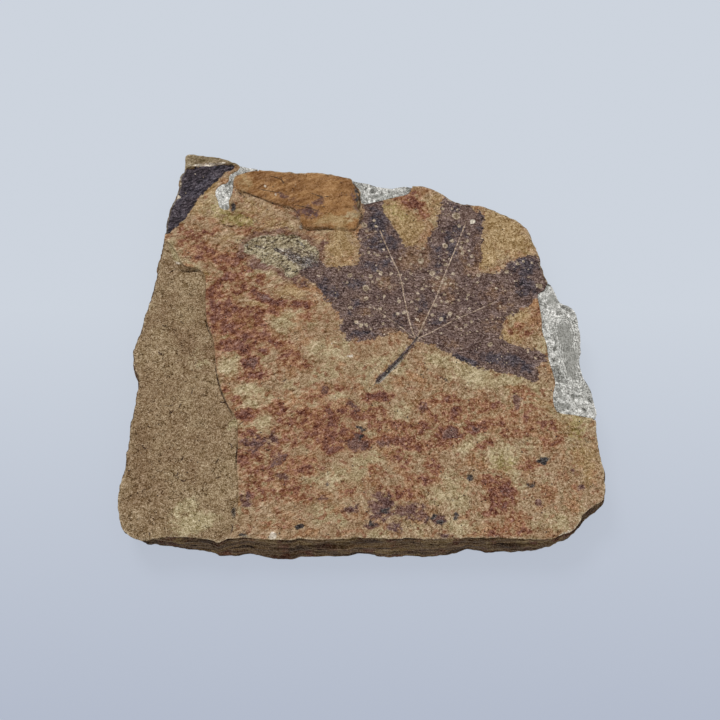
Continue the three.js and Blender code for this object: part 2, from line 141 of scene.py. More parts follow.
# The top edge of the slab, anticlockwise from the back left corner: x, y and how far the foot of the
# side stands out beyond that edge, less than nothing where the side is undercut.
SLAB_EDGE = [
    (-68.6, 80.9, -1), (-69.3, 77.8, -1), (-69, 74.2, -0.5), (-70.7, 71.2, 0), (-71.3, 67.6, 0.3),
    (-72, 61.9, 0), (-74.1, 56.2, -0.5), (-75.6, 46.6, -0.5), (-76, 42.8, 0.2), (-77.1, 34, 0.4),
    (-77.8, 26.2, 0), (-80.1, 14.8, 0), (-82.5, 5, 0.3), (-84.9, -5, -0.5), (-83.8, -11.2, 0),
    (-81.8, -15.8, 0.8), (-82.6, -24, 0.4), (-84, -35.4, 0), (-84.4, -43.5, -0.3), (-85.3, -52.5, -0.8),
    (-86.9, -63.4, -1.8), (-85.7, -70.4, -2.6), (-83.4, -75.4, -3.5), (-80.9, -77.6, -4),
    (-76, -78.7, -3.4), (-69.6, -77.3, -1.3), (-62, -77.6, 0), (-55.5, -78.3, -0.4), (-50, -79.2, 0.3),
    (-46.5, -78.2, 1.6), (-39, -78, 1.3), (-30, -78.6, 2.1), (-18, -78.5, 1.6), (-6, -78.2, 2.2),
    (1.5, -77.9, 1.4), (8, -78.1, 2.6), (20, -78, 2.4), (30, -77.9, 1.4), (38.5, -78, -0.9), (46, -77.8, 1),
    (58, -78.1, 0.4), (66, -78.3, -1.8), (71, -76.9, -2.3), (75.2, -74.2, -2), (78.2, -69.6, -0.9),
    (81.4, -66.3, -1), (85, -63.9, -1.8), (86.3, -59.5, -1.4), (86.2, -52, -0.6), (85.3, -42, 0.3),
    (84.6, -31.5, 0.2), (83.6, -24.5, -0.4), (81.9, -18.8, -0.6), (79.6, -13, 0), (79.6, -6, 0.2),
    (80.3, 0, 0.2), (79.5, 8, 0), (77.2, 12.6, -0.5), (73.4, 15.4, 0), (71.4, 19.6, 0.2), (70.1, 24.2, 0.2),
    (68.6, 29.9, 0.3), (67.7, 34.5, 0), (65.6, 40.7, 0), (64, 46.2, -0.3), (61.2, 49.6, -0.5),
    (57.4, 52.4, -1), (50.1, 55.9, -0.6), (44.5, 57.9, 0), (38.7, 58.7, 0.5), (32.4, 62.2, 0.3),
    (26, 66, -0.5), (20.3, 67.1, -1.2), (14, 65.2, -0.6), (7.7, 65.2, 0.2), (1, 67.2, 0),
    (-4.4, 69.5, -0.4), (-9, 70.8, -0.8), (-19.2, 72.2, -0.5), (-30, 72.7, 0), (-39, 74.3, 0.4),
    (-46.8, 75.9, 0.2), (-54, 78.8, 0.5), (-61, 80, 0.2),
]

# Where the upper bed ends along the left, closed round the rest of the slab.
UPPER_BED = [
    (-77.5, 44), (-75.6, 42.9), (-72.9, 40.3), (-70.8, 37.3), (-69.3, 33.7), (-66.9, 31.2), (-62.4, 30.3),
    (-60, 28), (-59.1, 24), (-59, 17), (-57.9, 7.6), (-55.6, 1), (-54.6, -4.5), (-53.6, -12.5),
    (-51.6, -20), (-48.7, -27.4), (-45.8, -32), (-44.8, -41), (-44.8, -50), (-43.9, -61), (-44.2, -68.5),
    (-45.6, -75), (-48.4, -82), (92, -88), (92, 88), (-92, 88), (-92, 50),
]
FLAKE = [
    (-39.5, 77), (-40.2, 74.1), (-44.6, 72.9), (-49.3, 70.4), (-49.7, 66), (-45.6, 64), (-38.4, 61),
    (-33.6, 58.9), (-26.7, 56.5), (-24.2, 53.4), (-23, 48.6), (-19, 47.4), (-14.4, 47.7), (-6.1, 46.4),
    (-2.6, 47.1), (-1.4, 49.4), (-0.5, 53), (-2, 57.4), (-1.1, 61), (-1.4, 64.2), (-3.2, 66.8), (-4.3, 70),
    (-4.3, 77),
]
CORNER = [
    (-73, 84), (-73, 74.8), (-69, 75), (-65.2, 75.4), (-62.8, 76.7), (-58, 76.9), (-52, 76.5),
    (-48.6, 76.2), (-48.6, 84),
]

# The blade, anticlockwise from its base, lobe by lobe, then its stalk and main veins.
LEAF = [
    (19.6, -0.4), (23.5, -1.6), (31.4, -5.6), (38.4, -9.8), (49.8, -13.5), (60, -15.9), (63.8, -17.6),
    (65.3, -15), (65.3, -10.8), (68.2, -9), (68, -6), (63.8, -4.5), (56.6, -2.4), (51.4, 0.9), (52.6, 5),
    (54, 8.7), (60.9, 12.8), (63.8, 16.2), (68.2, 17.8), (73, 23), (71.5, 34.9), (64.5, 35.4), (60.2, 34.9),
    (56, 32.7), (52.2, 29), (47.2, 27.8), (43.9, 29.8), (45.6, 36.2), (46.1, 43.8), (46.8, 49),
    (46.4, 54.2), (43.4, 56.4), (40.9, 61), (33.8, 64), (31.5, 59.6), (29.6, 53.5), (28.6, 49),
    (25.8, 44.5), (23.6, 39.4), (16.8, 40.2), (14, 45.6), (11.3, 50), (8.4, 55.2), (7, 61.5), (0.3, 61.5),
    (0.4, 55), (-0.6, 49.6), (-1, 41.6), (-0.9, 34), (-4.2, 30.6), (-12.6, 30.8), (-16, 34.2), (-20, 37.9),
    (-28, 38.6), (-32, 38), (-27, 33), (-23, 27.4), (-18, 23.8), (-14, 17.1), (-8.6, 10.2), (-6.9, 7),
    (-7.8, 3.6), (-5.6, 0.3), (2, -0.4), (8.3, 1.3), (14.2, 3),
]
STALK = [(20.6, 0.6), (17.2, -4.2), (11.8, -10.6), (5.6, -17.4)]
STALK_WIDTH = 1.5
VEINS = [
    [(20.2, -0.2), (25.6, 2.6), (37.1, 9.2), (46.5, 13.9), (50.5, 15.8)],
    [(20.2, -0.2), (22.7, 5.6), (27.8, 17.1), (32.4, 30.1), (36.4, 40.2), (40.2, 50.5)],
    [(20.2, -0.2), (18.2, 5.2), (16.2, 15.7), (14.4, 26.5), (10.2, 37.6), (7.0, 46.4)],
    [(20.2, -0.2), (15.0, 4.4), (9.8, 8.5), (3.3, 14.2), (-1.6, 18.2)],
]
VEIN_STRENGTH = (0.65, 1.0, 0.95, 0.35)
VEIN_WIDTH = 0.44

# The scrap of a second leaf, and the rough cream patch of bare matrix over the left lobe's tip.
SCRAP = [
    (-73.5, 74.6), (-69, 74.3), (-65.2, 74.7), (-62.8, 76), (-58, 76.2), (-50, 75.6), (-53.4, 73.6),
    (-58.2, 68.2), (-63.6, 62.2), (-67.8, 53.8), (-74.6, 46), (-79, 45), (-79, 60),
]
PATCH = [
    (-45, 40.6), (-42.6, 43), (-38.4, 44.2), (-32.4, 44.8), (-26.4, 44.8), (-22.8, 43), (-19, 40),
    (-16.6, 37), (-16.4, 34), (-18.6, 31.4), (-23.4, 29.2), (-24.6, 27), (-27.6, 26.2), (-30, 29.2),
    (-34.8, 31), (-38.4, 32.8), (-40.8, 35.2), (-44.4, 37),
]

# The chips in the stone and the plaster in them.
RIGHT_CHIP = [
    (88, -32.4), (83.4, -32), (77.4, -30.9), (71.1, -29.8), (69.9, -27), (69.9, -22.2), (70.9, -18.6),
    (70.5, -15), (69, -8.3), (68.5, -1.8), (67.2, 3.3), (67.2, 9), (66.5, 15.3), (66.3, 18.9), (68.8, 20.8),
    (70.3, 23.6), (75, 25), (90, 12),
]
RIGHT_PLASTER = [
    (84.9, -31.9), (84.5, -26.4), (83.8, -21.8), (82.3, -18.2), (80.7, -14.2), (80.3, -9.8), (81, -4.6),
    (81.3, 0.8), (80.5, 8), (79.3, 12.2), (76.7, 14.4), (74.5, 15.3), (73.1, 18.6), (70.6, 23.2), (62, 23),
    (62, -33),
]
BACK_CHIP = [
    (19.8, 72), (19.3, 65.6), (18.4, 63.3), (14, 61.9), (6.4, 59.7), (0.2, 58.5), (-0.6, 60.9),
    (-0.6, 64.2), (-2.6, 67), (-3.6, 70), (-3.6, 74),
]
BACK_PLASTER = [
    (22, 58), (22, 65), (18.2, 66.2), (14, 66.1), (11.5, 65.6), (7.7, 66.1), (3.9, 67.3), (0, 68.3),
    (-3.2, 69), (-6, 70.4), (-8, 58),
]
CRACK_FILL = [
    (-40.4, 77.5), (-40.6, 74.5), (-44.9, 73.3), (-49.7, 71), (-50.1, 66), (-50.6, 62.6), (-51.6, 60),
    (-51.4, 56.2), (-54.8, 56.8), (-56, 60.6), (-57, 63.4), (-55.8, 66.4), (-52.2, 68.4), (-51.6, 71.8),
    (-48.2, 74.2), (-47, 77.5),
]

# Open cracks: a line, its width and its depth below the surface.
CRACKS = [
    ([(-69.5, 30.3), (-66.0, 29.9), (-61.5, 30.4)], 0.9, 1.6),
    ([(-48.0, 64.4), (-45.4, 61.9)], 1.3, 1.2),
    ([(-46.0, 64.0), (-38.4, 60.9), (-33.0, 58.4), (-26.5, 56.2)], 0.4, 0.7),
    ([(-26.4, 51.8), (-22.8, 51.4), (-23.3, 48.4), (-18.8, 47), (-14.4, 47.4), (-2.4, 46.6)], 0.45, 0.9),
    ([(-1.9, 47.5), (-0.7, 50.0), (0.1, 53.4), (-1.3, 57.4), (-0.6, 59.0)], 0.8, 0.9),
]

# Hair cracks and scratches in the surface, as lines, and lines of painted shadow along steps.
MARKS_AND_SHADOW_LINES = [
    [(-72.8, -26.5), (-70, -26.9), (-69.3, -26.6), (-68.8, -25.9)],
    [(-70.4, -28.0), (-69.8, -29.3), (-69.0, -29.2), (-68.6, -28.5)],
    [(-67.0, -28.1), (-65.8, -25.2)],
    [(-61.3, -7.0), (-61.5, -9.2), (-62.7, -10.1), (-63.8, -9.8)],
    [(-64.2, -46.2), (-64.5, -48.0), (-65.6, -49.4)],
    [(-65.4, -55.4), (-63.7, -56.6), (-62.1, -55.3)],
    [(-65.9, -52.0), (-66.0, -54.0), (-67.6, -55.1)],
    [(-52.4, -55.6), (-50.4, -54.6)],
    [(-51.4, -47.4), (-52.4, -49.6)],
    [(-50.2, -42.0), (-48.0, -41.6), (-46.9, -43.0), (-47.2, -45.2)],
    [(-52.2, -25.1), (-50.2, -25.5)],
    [(-75.0, -75.4), (-74.4, -77.4)],
    [(-45.3, -71.4), (-45.6, -74.4), (-46.2, -77.0)],
    [(-76.0, -4.0), (-74.6, -5.6), (-73.0, -5.4)],
    [(-75.2, 7.2), (-73.6, 6.0), (-72.8, 6.8)],
    [(-68.4, 8.4), (-66.6, 7.2)],
    [(-70.6, 30.8), (-73.6, 29.0)],
    [(-62.6, -22.4), (-62.0, -19.8)],
    [(-79.4, -42.4), (-78.2, -43.8), (-76.8, -43.4)],
    [(-37.6, -19.2), (-36.7, -17.9), (-35.8, -17.3)],
    [(-30.0, -17.4), (-28.4, -16.9), (-27.7, -15.9)],
    [(-44.7, -34.9), (-43.3, -33.6), (-42.5, -32.9)],
    [(-35.4, -43.8), (-33.8, -44.8), (-32.4, -44.6)],
    [(-33.6, 39.2), (-31.4, 38.0), (-29.4, 36.0)],
    [(-41.0, 65.6), (-36.4, 64.2), (-31.0, 63.2)],
    [(-36.0, 71.0), (-31.6, 69.4), (-29.8, 66.6)],
    [(-54.0, 49.8), (-50.6, 48.8), (-48.0, 49.4)],
    # The next three are painted shadow along the step where the upper bed ends.
    [(-54.6, -7), (-53.6, -14), (-52, -20), (-50, -25), (-47.8, -29.4), (-46, -33)],
    [(-58.6, 9.0), (-57.8, 5.6), (-56.2, 1.8)],
    [(-44.9, -41.0), (-45.2, -47.0), (-45.0, -54.0)],
    [(-20.0, 63.0), (-15.0, 61.2), (-11.6, 61.8)],
    # Painted shadow along the flake's right edge.
    [(-0.8, 56.5), (-0.9, 61.0), (-1.3, 64.2), (-3.0, 66.8), (-4.0, 69.6)],
    [(-25.8, 57.4), (-21.0, 56.4), (-17.0, 54.8)],
]

# Stains, as blots, and one blot of painted shadow: x, y, half length, half width, angle in degrees and
# strength.
IRON = [
    (-68, 42, 4, 2, 0, 0.5), (-64, 45, 7, 3, -10, 0.55), (-60, 37, 8, 3.5, -5, 0.75),
    (-50, 34, 8, 4, -8, 0.85), (-44, 30, 5, 3, -30, 0.6), (-50, 26, 9, 4, 0, 0.65),
    (-55, 20, 5, 6, 0, 0.75), (-46, 22, 6, 4, -20, 0.65), (-38.5, 25, 4, 2, -20, 0.65),
    (-38, 18, 7, 2.4, -15, 1), (-30, 15, 8, 1.8, 0, 0.8), (-24, 14, 6, 2, 0, 0.95),
    (-32, 11.5, 5, 2, 0, 0.9), (-52, 11, 7, 6, 0, 1), (-50, 5.5, 8, 4, 0, 0.95), (-42, 9, 6, 5, 0, 0.7),
    (-38.5, 7, 3.5, 5, 0, 0.65), (-43, 2, 9, 4, 0, 0.8), (-38, 1, 6, 3, 0, 0.85), (-47, -3, 9, 3, 0, 0.95),
    (-52, -3, 4, 3, 0, 0.85), (-33, -1.5, 7, 2.5, -10, 0.7), (-36, -4, 5, 2, 20, 0.65),
    (-41, -9, 4, 5, 0, 0.9), (-40, -14.5, 5, 3, 0, 0.9), (-36, -14, 4, 3, 0, 0.5),
    (-26.5, -8, 4, 5, -20, 0.7), (-22, -11, 3, 3, 0, 0.5), (-50, -20.5, 3, 2.5, 0, 0.65),
    (-46, -25.5, 3, 2, 0, 0.5), (-42, -31, 6, 2.5, 0, 0.8), (-30, -28, 7, 3, -10, 0.75),
    (-27, -32.5, 6, 3, -30, 0.65), (-20, -24, 5, 3, 0, 0.5), (-14, -21, 7, 2.2, 5, 0.6),
    (-7, -19.5, 6, 2, 0, 0.6), (-16, -31, 10, 4.5, 0, 0.7), (-5, -29, 7, 4, 0, 0.75),
    (6, -23.5, 6, 2.5, 0, 0.95), (3, -31, 6, 3, 0, 0.85), (-42, -38, 5, 2, 0, 0.85),
    (-38, -42, 6, 4, 0, 0.8), (-41, -47, 5, 3.5, 0, 0.85), (-30, -48, 5, 3, 30, 0.75),
    (-28, -40, 7, 5, 0, 0.5), (-14, -37, 12, 5, 0, 0.7), (-11, -42, 8, 4, 0, 0.85), (-3, -41, 5, 4, 0, 0.9),
    (-22, -51, 8, 3, 0, 0.6), (-36, -53, 8, 3, 0, 0.55), (10, -37, 9, 3, 0, 0.65),
    (12, -41.5, 12, 2.5, 0, 0.85), (20, -43, 8, 2.5, 0, 0.75), (21, -36, 5, 3, 0, 0.75),
    (23, -28, 5, 3, 60, 0.55), (30, -25, 8, 2.5, 0, 0.65), (33, -31, 9, 3.5, 0, 0.65),
    (31, -38, 5.5, 3, 0, 1.05), (28, -42.5, 6, 2.5, 0, 0.65), (42, -35.5, 6, 2.5, 5, 1),
    (44, -27, 8, 3, 0, 0.5), (50, -33, 6, 3, 0, 0.55), (58, -30, 9, 5, 0, 0.45), (66, -38, 9, 6, 0, 0.4),
    (60, -23, 6, 3, 0, 0.4), (-38, -60, 8, 5, 0, 0.5), (-25, -60, 12, 5, -10, 0.55),
    (-5, -60, 5, 3, 0, 0.5), (5, -52.5, 4, 3, 0, 0.5), (13, -47, 6, 3, -20, 0.55), (16, -51, 4, 3, 0, 0.45),
    (26, -52, 4, 3, 0, 0.65), (22, -57, 9, 3, 0, 0.5), (14, -61.5, 9, 3.5, 0, 0.65),
    (46, -56.5, 7, 2.2, -5, 0.75), (50, -61.5, 7, 4.5, 0, 0.85), (46, -67, 5, 3, 0, 0.55),
    (54, -71, 6, 4, 0, 0.5), (57, -75, 4, 2.5, 0, 0.7), (48, -76.5, 6, 3, 0, 0.75),
    (60, -51, 6, 2, 10, 0.55), (67, -62, 6, 4, 0, 0.4), (76, -59, 5, 2, 0, 0.4),
    (44, -43, 6, 2.2, 20, 0.55), (54, -38.5, 6, 2.5, 0, 0.55), (70, -41, 5, 3, 0, 0.45),
    (-30, -73, 8, 3, 0, 0.35), (20, 59, 5, 3.5, -30, 0.95), (17, 62.5, 5, 1.6, 10, 0.8),
    (23, 55, 4, 3.5, 0, 0.55), (59, 4, 6, 4, 0, 0.4), (65, 11, 2.5, 3, 0, 0.45),
    (-44, 46.5, 5, 2, 15, 0.45), (-62, 51, 5, 2.5, 25, 0.25), (-55, 47, 6, 2, 20, 0.3),
    (-20, 9, 4, 3, 0, 0.35),
]
PLUM = [
    (7, -66, 4.5, 4.5, 0, 0.95), (15, -68, 7, 2.2, 0, 0.85), (21, -70.5, 4, 1.8, 0, 0.75),
    (12, -74, 3, 2.5, 0, 0.65), (27, -71, 3, 1.8, 0, 0.9), (3.5, -72.5, 3, 1.5, 0, 0.8),
    (-39, -42, 5, 3.5, 0, 0.75), (-32, -40.5, 3.5, 2.5, 0, 0.7), (-30, -48.5, 3.5, 2, 40, 0.8),
    (-28.5, -54.5, 2.8, 1.1, -15, 1.1), (-41, -64, 2.5, 1.8, 0, 0.75), (-4, -67, 4, 1.6, 10, 0.75),
    (-2.5, -42, 3.5, 3, 0, 0.85), (-3, -27, 3, 2, 0, 0.6), (8, -43, 5, 1.6, 0, 0.55),
    (32, -38, 3.5, 2, 0, 0.7), (41, -36, 2.5, 1.2, 0, 0.75), (-37.5, 18, 5, 1.4, -15, 0.5),
    (-41, -9, 2.5, 4, 0, 0.4), (78.5, -59, 1.6, 1.3, 0, 1), (63, -65.5, 1.3, 1.7, 20, 1),
    (56.5, -26.5, 1.2, 2.6, 0, 0.8), (-13.5, -20.5, 1.8, 1.8, 0, 0.7), (29, -77, 3, 1.3, 0, 0.75),
    (-14, -63, 3, 1, 0, 0.5), (75, -53, 0.8, 1, 0, 0.8), (22, -28, 2, 3, -50, 0.5),
    (-21, 55, 5, 3, -10, 0.7), (-16, 58.5, 4, 1.6, 30, 0.6), (-30, 62, 6, 1.2, -20, 0.5),
    (-3, 60, 1.5, 6, 0, 0.5), (-38, 31.5, 8, 1.9, -12, 0.95), (-30, 28, 5, 1.8, -20, 0.85),
    (-23.5, 24, 5, 2, -35, 0.7), (-34, 46.3, 9, 1.2, 2, 0.55), (-46, 37, 1.6, 3, 0, 0.5),
    (-15.5, 40, 2, 4, -25, 0.6),
]
COAL_AND_SHADE = [
    (-45.3, -68, 1.1, 2.3, 5, 1.1), (-21.8, -74, 1.7, 0.8, 0, 1), (38.5, -55, 1.7, 1.1, -15, 1),
    (33, -69.6, 1.5, 1.4, 0, 1), (64.5, -48.3, 2.8, 1, 25, 0.95), (64.4, -48.6, 2.6, 0.9, -65, 0.95),
    (3, -72, 2.5, 0.9, -20, 0.7), (-12.5, -57.8, 1.1, 1, 0, 0.9), (0.2, -37.2, 1.6, 0.7, 40, 0.9),
    (-1.2, -36, 2, 0.7, -30, 0.7), (-0.4, -39.5, 1.6, 0.6, 60, 0.7), (24.5, -70, 1.6, 1.2, 40, 0.7),
    (27.5, -72, 2, 0.9, 0, 0.7), (29.5, -16.2, 3, 1.2, -10, 0.5), (-42, -76.5, 1.5, 1.2, 0, 0.7),
    (61, -57.5, 3, 1.2, 20, 0.45), (8, -67.5, 3, 1.2, 0, 0.6), (81.5, -40, 1.5, 2.5, 0, 0.35),
    # The last blot on the next line is painted shadow along the flake's right edge.
    (-50.6, 57.6, 0.9, 2.6, 10, 1), (31.5, -63.5, 1.3, 0.7, 0, 0.6), (-1.9, 62.5, 0.9, 5.5, 14, 0.8),
]
PALE = [
    (30, -9, 8, 3, -20, 0.8), (42, -15.5, 10, 4, -14, 1), (55, -17.5, 8, 2.5, -6, 0.9),
    (50, -47, 7, 5.5, 0, 0.8), (38, -43.5, 4, 3, 0, 0.75), (54, -54, 5, 3, 0, 0.5), (31, -60, 8, 7, 0, 0.7),
    (33, -73, 7, 4, 0, 0.55), (-48, -10.5, 5, 4, 0, 0.85), (-42, -21.5, 6, 3, 0, 0.8),
    (-41, -27, 5, 3, 0, 0.55), (-46, -34.5, 2, 3, -30, 0.75), (-35, -34.5, 3, 3, 0, 0.7),
    (-8, -22.5, 5, 2.2, 0, 0.7), (4.5, -38, 2.4, 1.8, 0, 0.7), (15, -28, 4, 3.5, 0, 0.5),
    (-8, -56, 9, 5, 0, 0.6), (2, -48, 7, 3, 0, 0.55), (-16, -57.5, 3, 3, 0, 0.6), (-12, -6, 10, 6, 0, 0.5),
    (8, -10, 7, 5, 0, 0.5), (-29, 7, 6, 5, 0, 0.7), (-37, -8, 2.5, 3, 0, 0.6), (-59, -72.5, 8, 4, 14, 1),
    (-63, -67, 6, 3, 40, 0.7), (-55, -71, 6, 3, 10, 0.7), (-57, 57, 8, 3, 40, 0.5),
    (-71, 38.5, 1.5, 5, 30, 0.8), (-65, 32.5, 5, 1.2, -40, 0.6), (-41, 21.5, 3, 2, 0, 0.4),
    (70, -73, 7, 3, 30, 0.5), (80, -36, 4, 5, 0, 0.5), (62, -42, 5, 3, 0, 0.45), (-60, -8, 5, 4, 0, 0.35),
    (-4, 53, 3, 4, 0, 0.5),
]
OCHRE = [
    (18, 47, 6, 8, -25, 1), (13, 54, 5, 6, 20, 0.9), (27, 57, 5, 6, 0, 0.6), (53, 47, 8, 10, 0, 1),
    (60, 40, 6, 6, 0, 0.9), (48, 36, 6, 5, 0, 1), (-8, 40, 7, 9, 0, 0.8), (55, 2, 4, 4, 0, 0.9),
    (60, 9, 5, 5, 0, 0.6), (80, -48, 7, 12, 0, 0.5), (74, -36, 8, 5, 0, 0.5), (-30, 10, 6, 3, 0, 0.6),
    (-27, 20, 7, 4, 0, 0.5), (-39, 14.8, 6, 1.2, 0, 0.8), (-60, 27.5, 3, 2, 0, 0.7),
    (0, -28, 4, 1.8, 0, 0.6), (-47, 17.5, 3, 1.5, 30, 0.6), (64, -27, 6, 6, 0, 0.4),
    (-11, 50.5, 8, 2.5, 0, 0.8), (-45, 68, 3, 4, 0, 0.5), (-60, 66, 5, 4, 40, 0.8),
    (-34, 52, 7, 3, -15, 0.4), (-55, 62, 4, 3, 40, 0.6), (-46, 42, 4, 3, 0, 0.35), (-62, 57, 6, 3, 35, 0.6),
    (-40, 56, 8, 4, -20, 0.45), (-30, 48.5, 6, 2.5, 0, 0.5), (-52, 43, 6, 2.5, 20, 0.4),
    (-64, 47.5, 4, 1.6, 10, 0.5), (-44, 60, 4, 2, -25, 0.5),
]
MOSS = [
    (-49, 52, 7, 4, -15, 0.75), (-43, 50, 3, 2.4, 0, 0.65), (-55, 56, 5, 4, 30, 0.5),
    (51, -50, 5, 4, 0, 0.55), (78, -38, 4, 6, 0, 0.5), (11, 57, 4, 3, 0, 0.5), (14, 55, 2, 5, 30, 0.5),
]
WHITE = [
    (-77.2, 58, 0.9, 3, 0, 0.9), (-76.6, 51, 0.7, 1.6, 0, 0.8), (-60, 76.6, 9, 0.5, 2, 0.9),
    (-31.6, -77.6, 1.7, 1.3, -10, 1), (-71.6, 62, 1, 1.2, 0, 1), (-71, 68, 0.8, 2.4, 0, 0.8),
    (-4, -6.8, 1.3, 0.5, 0, 0.9), (-37.7, 66.4, 0.6, 0.5, 0, 1), (-11, -2, 0.5, 0.5, 0, 0.9),
    (72, -76.4, 5, 1, 30, 0.9), (-23.2, 48.4, 1, 0.9, 0, 0.8), (-33.5, 62.5, 0.6, 0.5, 0, 0.9),
    (-31, 38.4, 1.6, 0.5, -30, 0.8), (-69.8, 34.2, 0.5, 3, 30, 0.5), (-28.5, 12, 0.8, 0.6, 0, 0.6),
]
LEAF_DARK = [
    (7, 50, 4, 7, 15, 1), (8, 42, 7, 4, 0, 0.9), (63, 30, 6, 4.5, 0, 0.95), (52, -8, 11, 2.6, -12, 1),
    (37, -8.5, 8, 1.5, -20, 0.8), (37, 46, 4, 4, 0, 0.6), (-13, 22, 5, 2.5, -50, 0.8),
    (34, 40, 3, 6, 15, 0.8), (-22, 33, 5, 3, -10, 0.9), (62, 23, 5, 4, 0, 0.8), (28, 34, 3, 6, 15, 0.6),
    (5, 32, 8, 3, 0, 0.7), (-2, 23, 6, 3, 0, 0.5), (28, 8, 4, 3, 0, 0.45), (-4, 10, 3, 4, 20, 0.45),
    (62, -13, 3, 3, 0, 0.7), (14, 8, 4, 3, -40, 0.4), (22, 14, 3, 4, 0, 0.5), (46, 50, 2, 5, 0, 0.4),
    (0, 2, 7, 1.6, 0, 0.6), (50, -9.5, 8, 1.5, -12, 0.8), (-3, 15, 3, 3, 0, 0.5), (36, 57, 3, 3, 0, 0.6),
]
LEAF_WARM = [
    (7, 44.5, 2.5, 3, 0, 0.9), (19, 33, 6, 3, 30, 1), (0, 11, 4, 2, 0, 0.6), (33, -2, 6, 2, -20, 0.5),
    (20, 34, 6, 5, 0, 0.9), (23, 39, 3, 3, 0, 1), (22.3, 8, 1.8, 4, -10, 1.1), (9, 23, 5, 3, 0, 0.7),
    (30, 23, 7, 3, 0, 0.85), (33, 18, 4, 3, 0, 0.7), (42, 30, 5, 3.5, 0, 0.9), (38, 36, 3, 3, 0, 0.7),
    (50, 20, 7, 4, 0, 0.5), (52, 14, 5, 2, 0, 0.6), (10, 3.6, 5, 1.6, 5, 0.8), (5, 47, 3, 3, 0, 0.7),
    (50, 6, 6, 4, 0, 0.5), (62, 27, 3, 2, 0, 0.4), (44, 40, 2, 6, 0, 0.5), (0, 17, 4, 3, 0, 0.4),
]
PORES = [
    (30, -68, 26, 12, 0, 1), (60, -62, 20, 14, 0, 0.8), (50, -46, 20, 10, 0, 0.6), (18, 46, 5, 8, -20, 0.6),
    (52, 46, 7, 9, 0, 0.7), (-5, -70, 14, 7, 0, 0.5),
]
PARTING = [
    (-31, 37.3, 4, 0.9, -22, 0.9), (-26, 34.8, 5, 2.2, -20, 1.1), (-20.5, 33.8, 4, 2.6, -10, 1),
    (-33, 40.6, 3, 0.5, 40, 0.6), (-39, 39.5, 4, 0.5, -30, 0.6), (-23, 40.5, 3, 0.6, -40, 0.6),
]

# Each list of blots becomes a field that is stored on the meshes under this name.
BLOTS = {
    "iron": IRON, "plum": PLUM, "coal_and_shade": COAL_AND_SHADE, "pale": PALE, "ochre": OCHRE, "moss": MOSS, "white": WHITE,
    "pores": PORES, "parting": PARTING, "leaf_dark": LEAF_DARK, "leaf_warm": LEAF_WARM,
}

# The lobe of plaster that the brush went round, and where the plaster is greyed: by stone dust, and at the
# crack's fill by painted shade.
LOBE = [(75.6, 6.0), (76.0, 2.0), (77.0, -9.0), (79.4, -18.0)]
DUST_AND_SHADE = [
    (76, 1.5, 3.6, 4.6, 0, 1.1), (77, -9, 2.3, 8, 8, 1.05), (72.4, -22, 1.4, 4, 10, 0.8),
    (74, -27.4, 2.4, 1, 0, 0.8), (71, 16, 3, 3, 0, 0.8), (6, 62, 5, 1.5, 10, 0.6),
    # These two are painted shade at the lower end of the crack's fill.
    (-49.6, 60.6, 1.2, 3, 10, 1), (-53, 58, 1.6, 1.2, 0, 0.7),
]

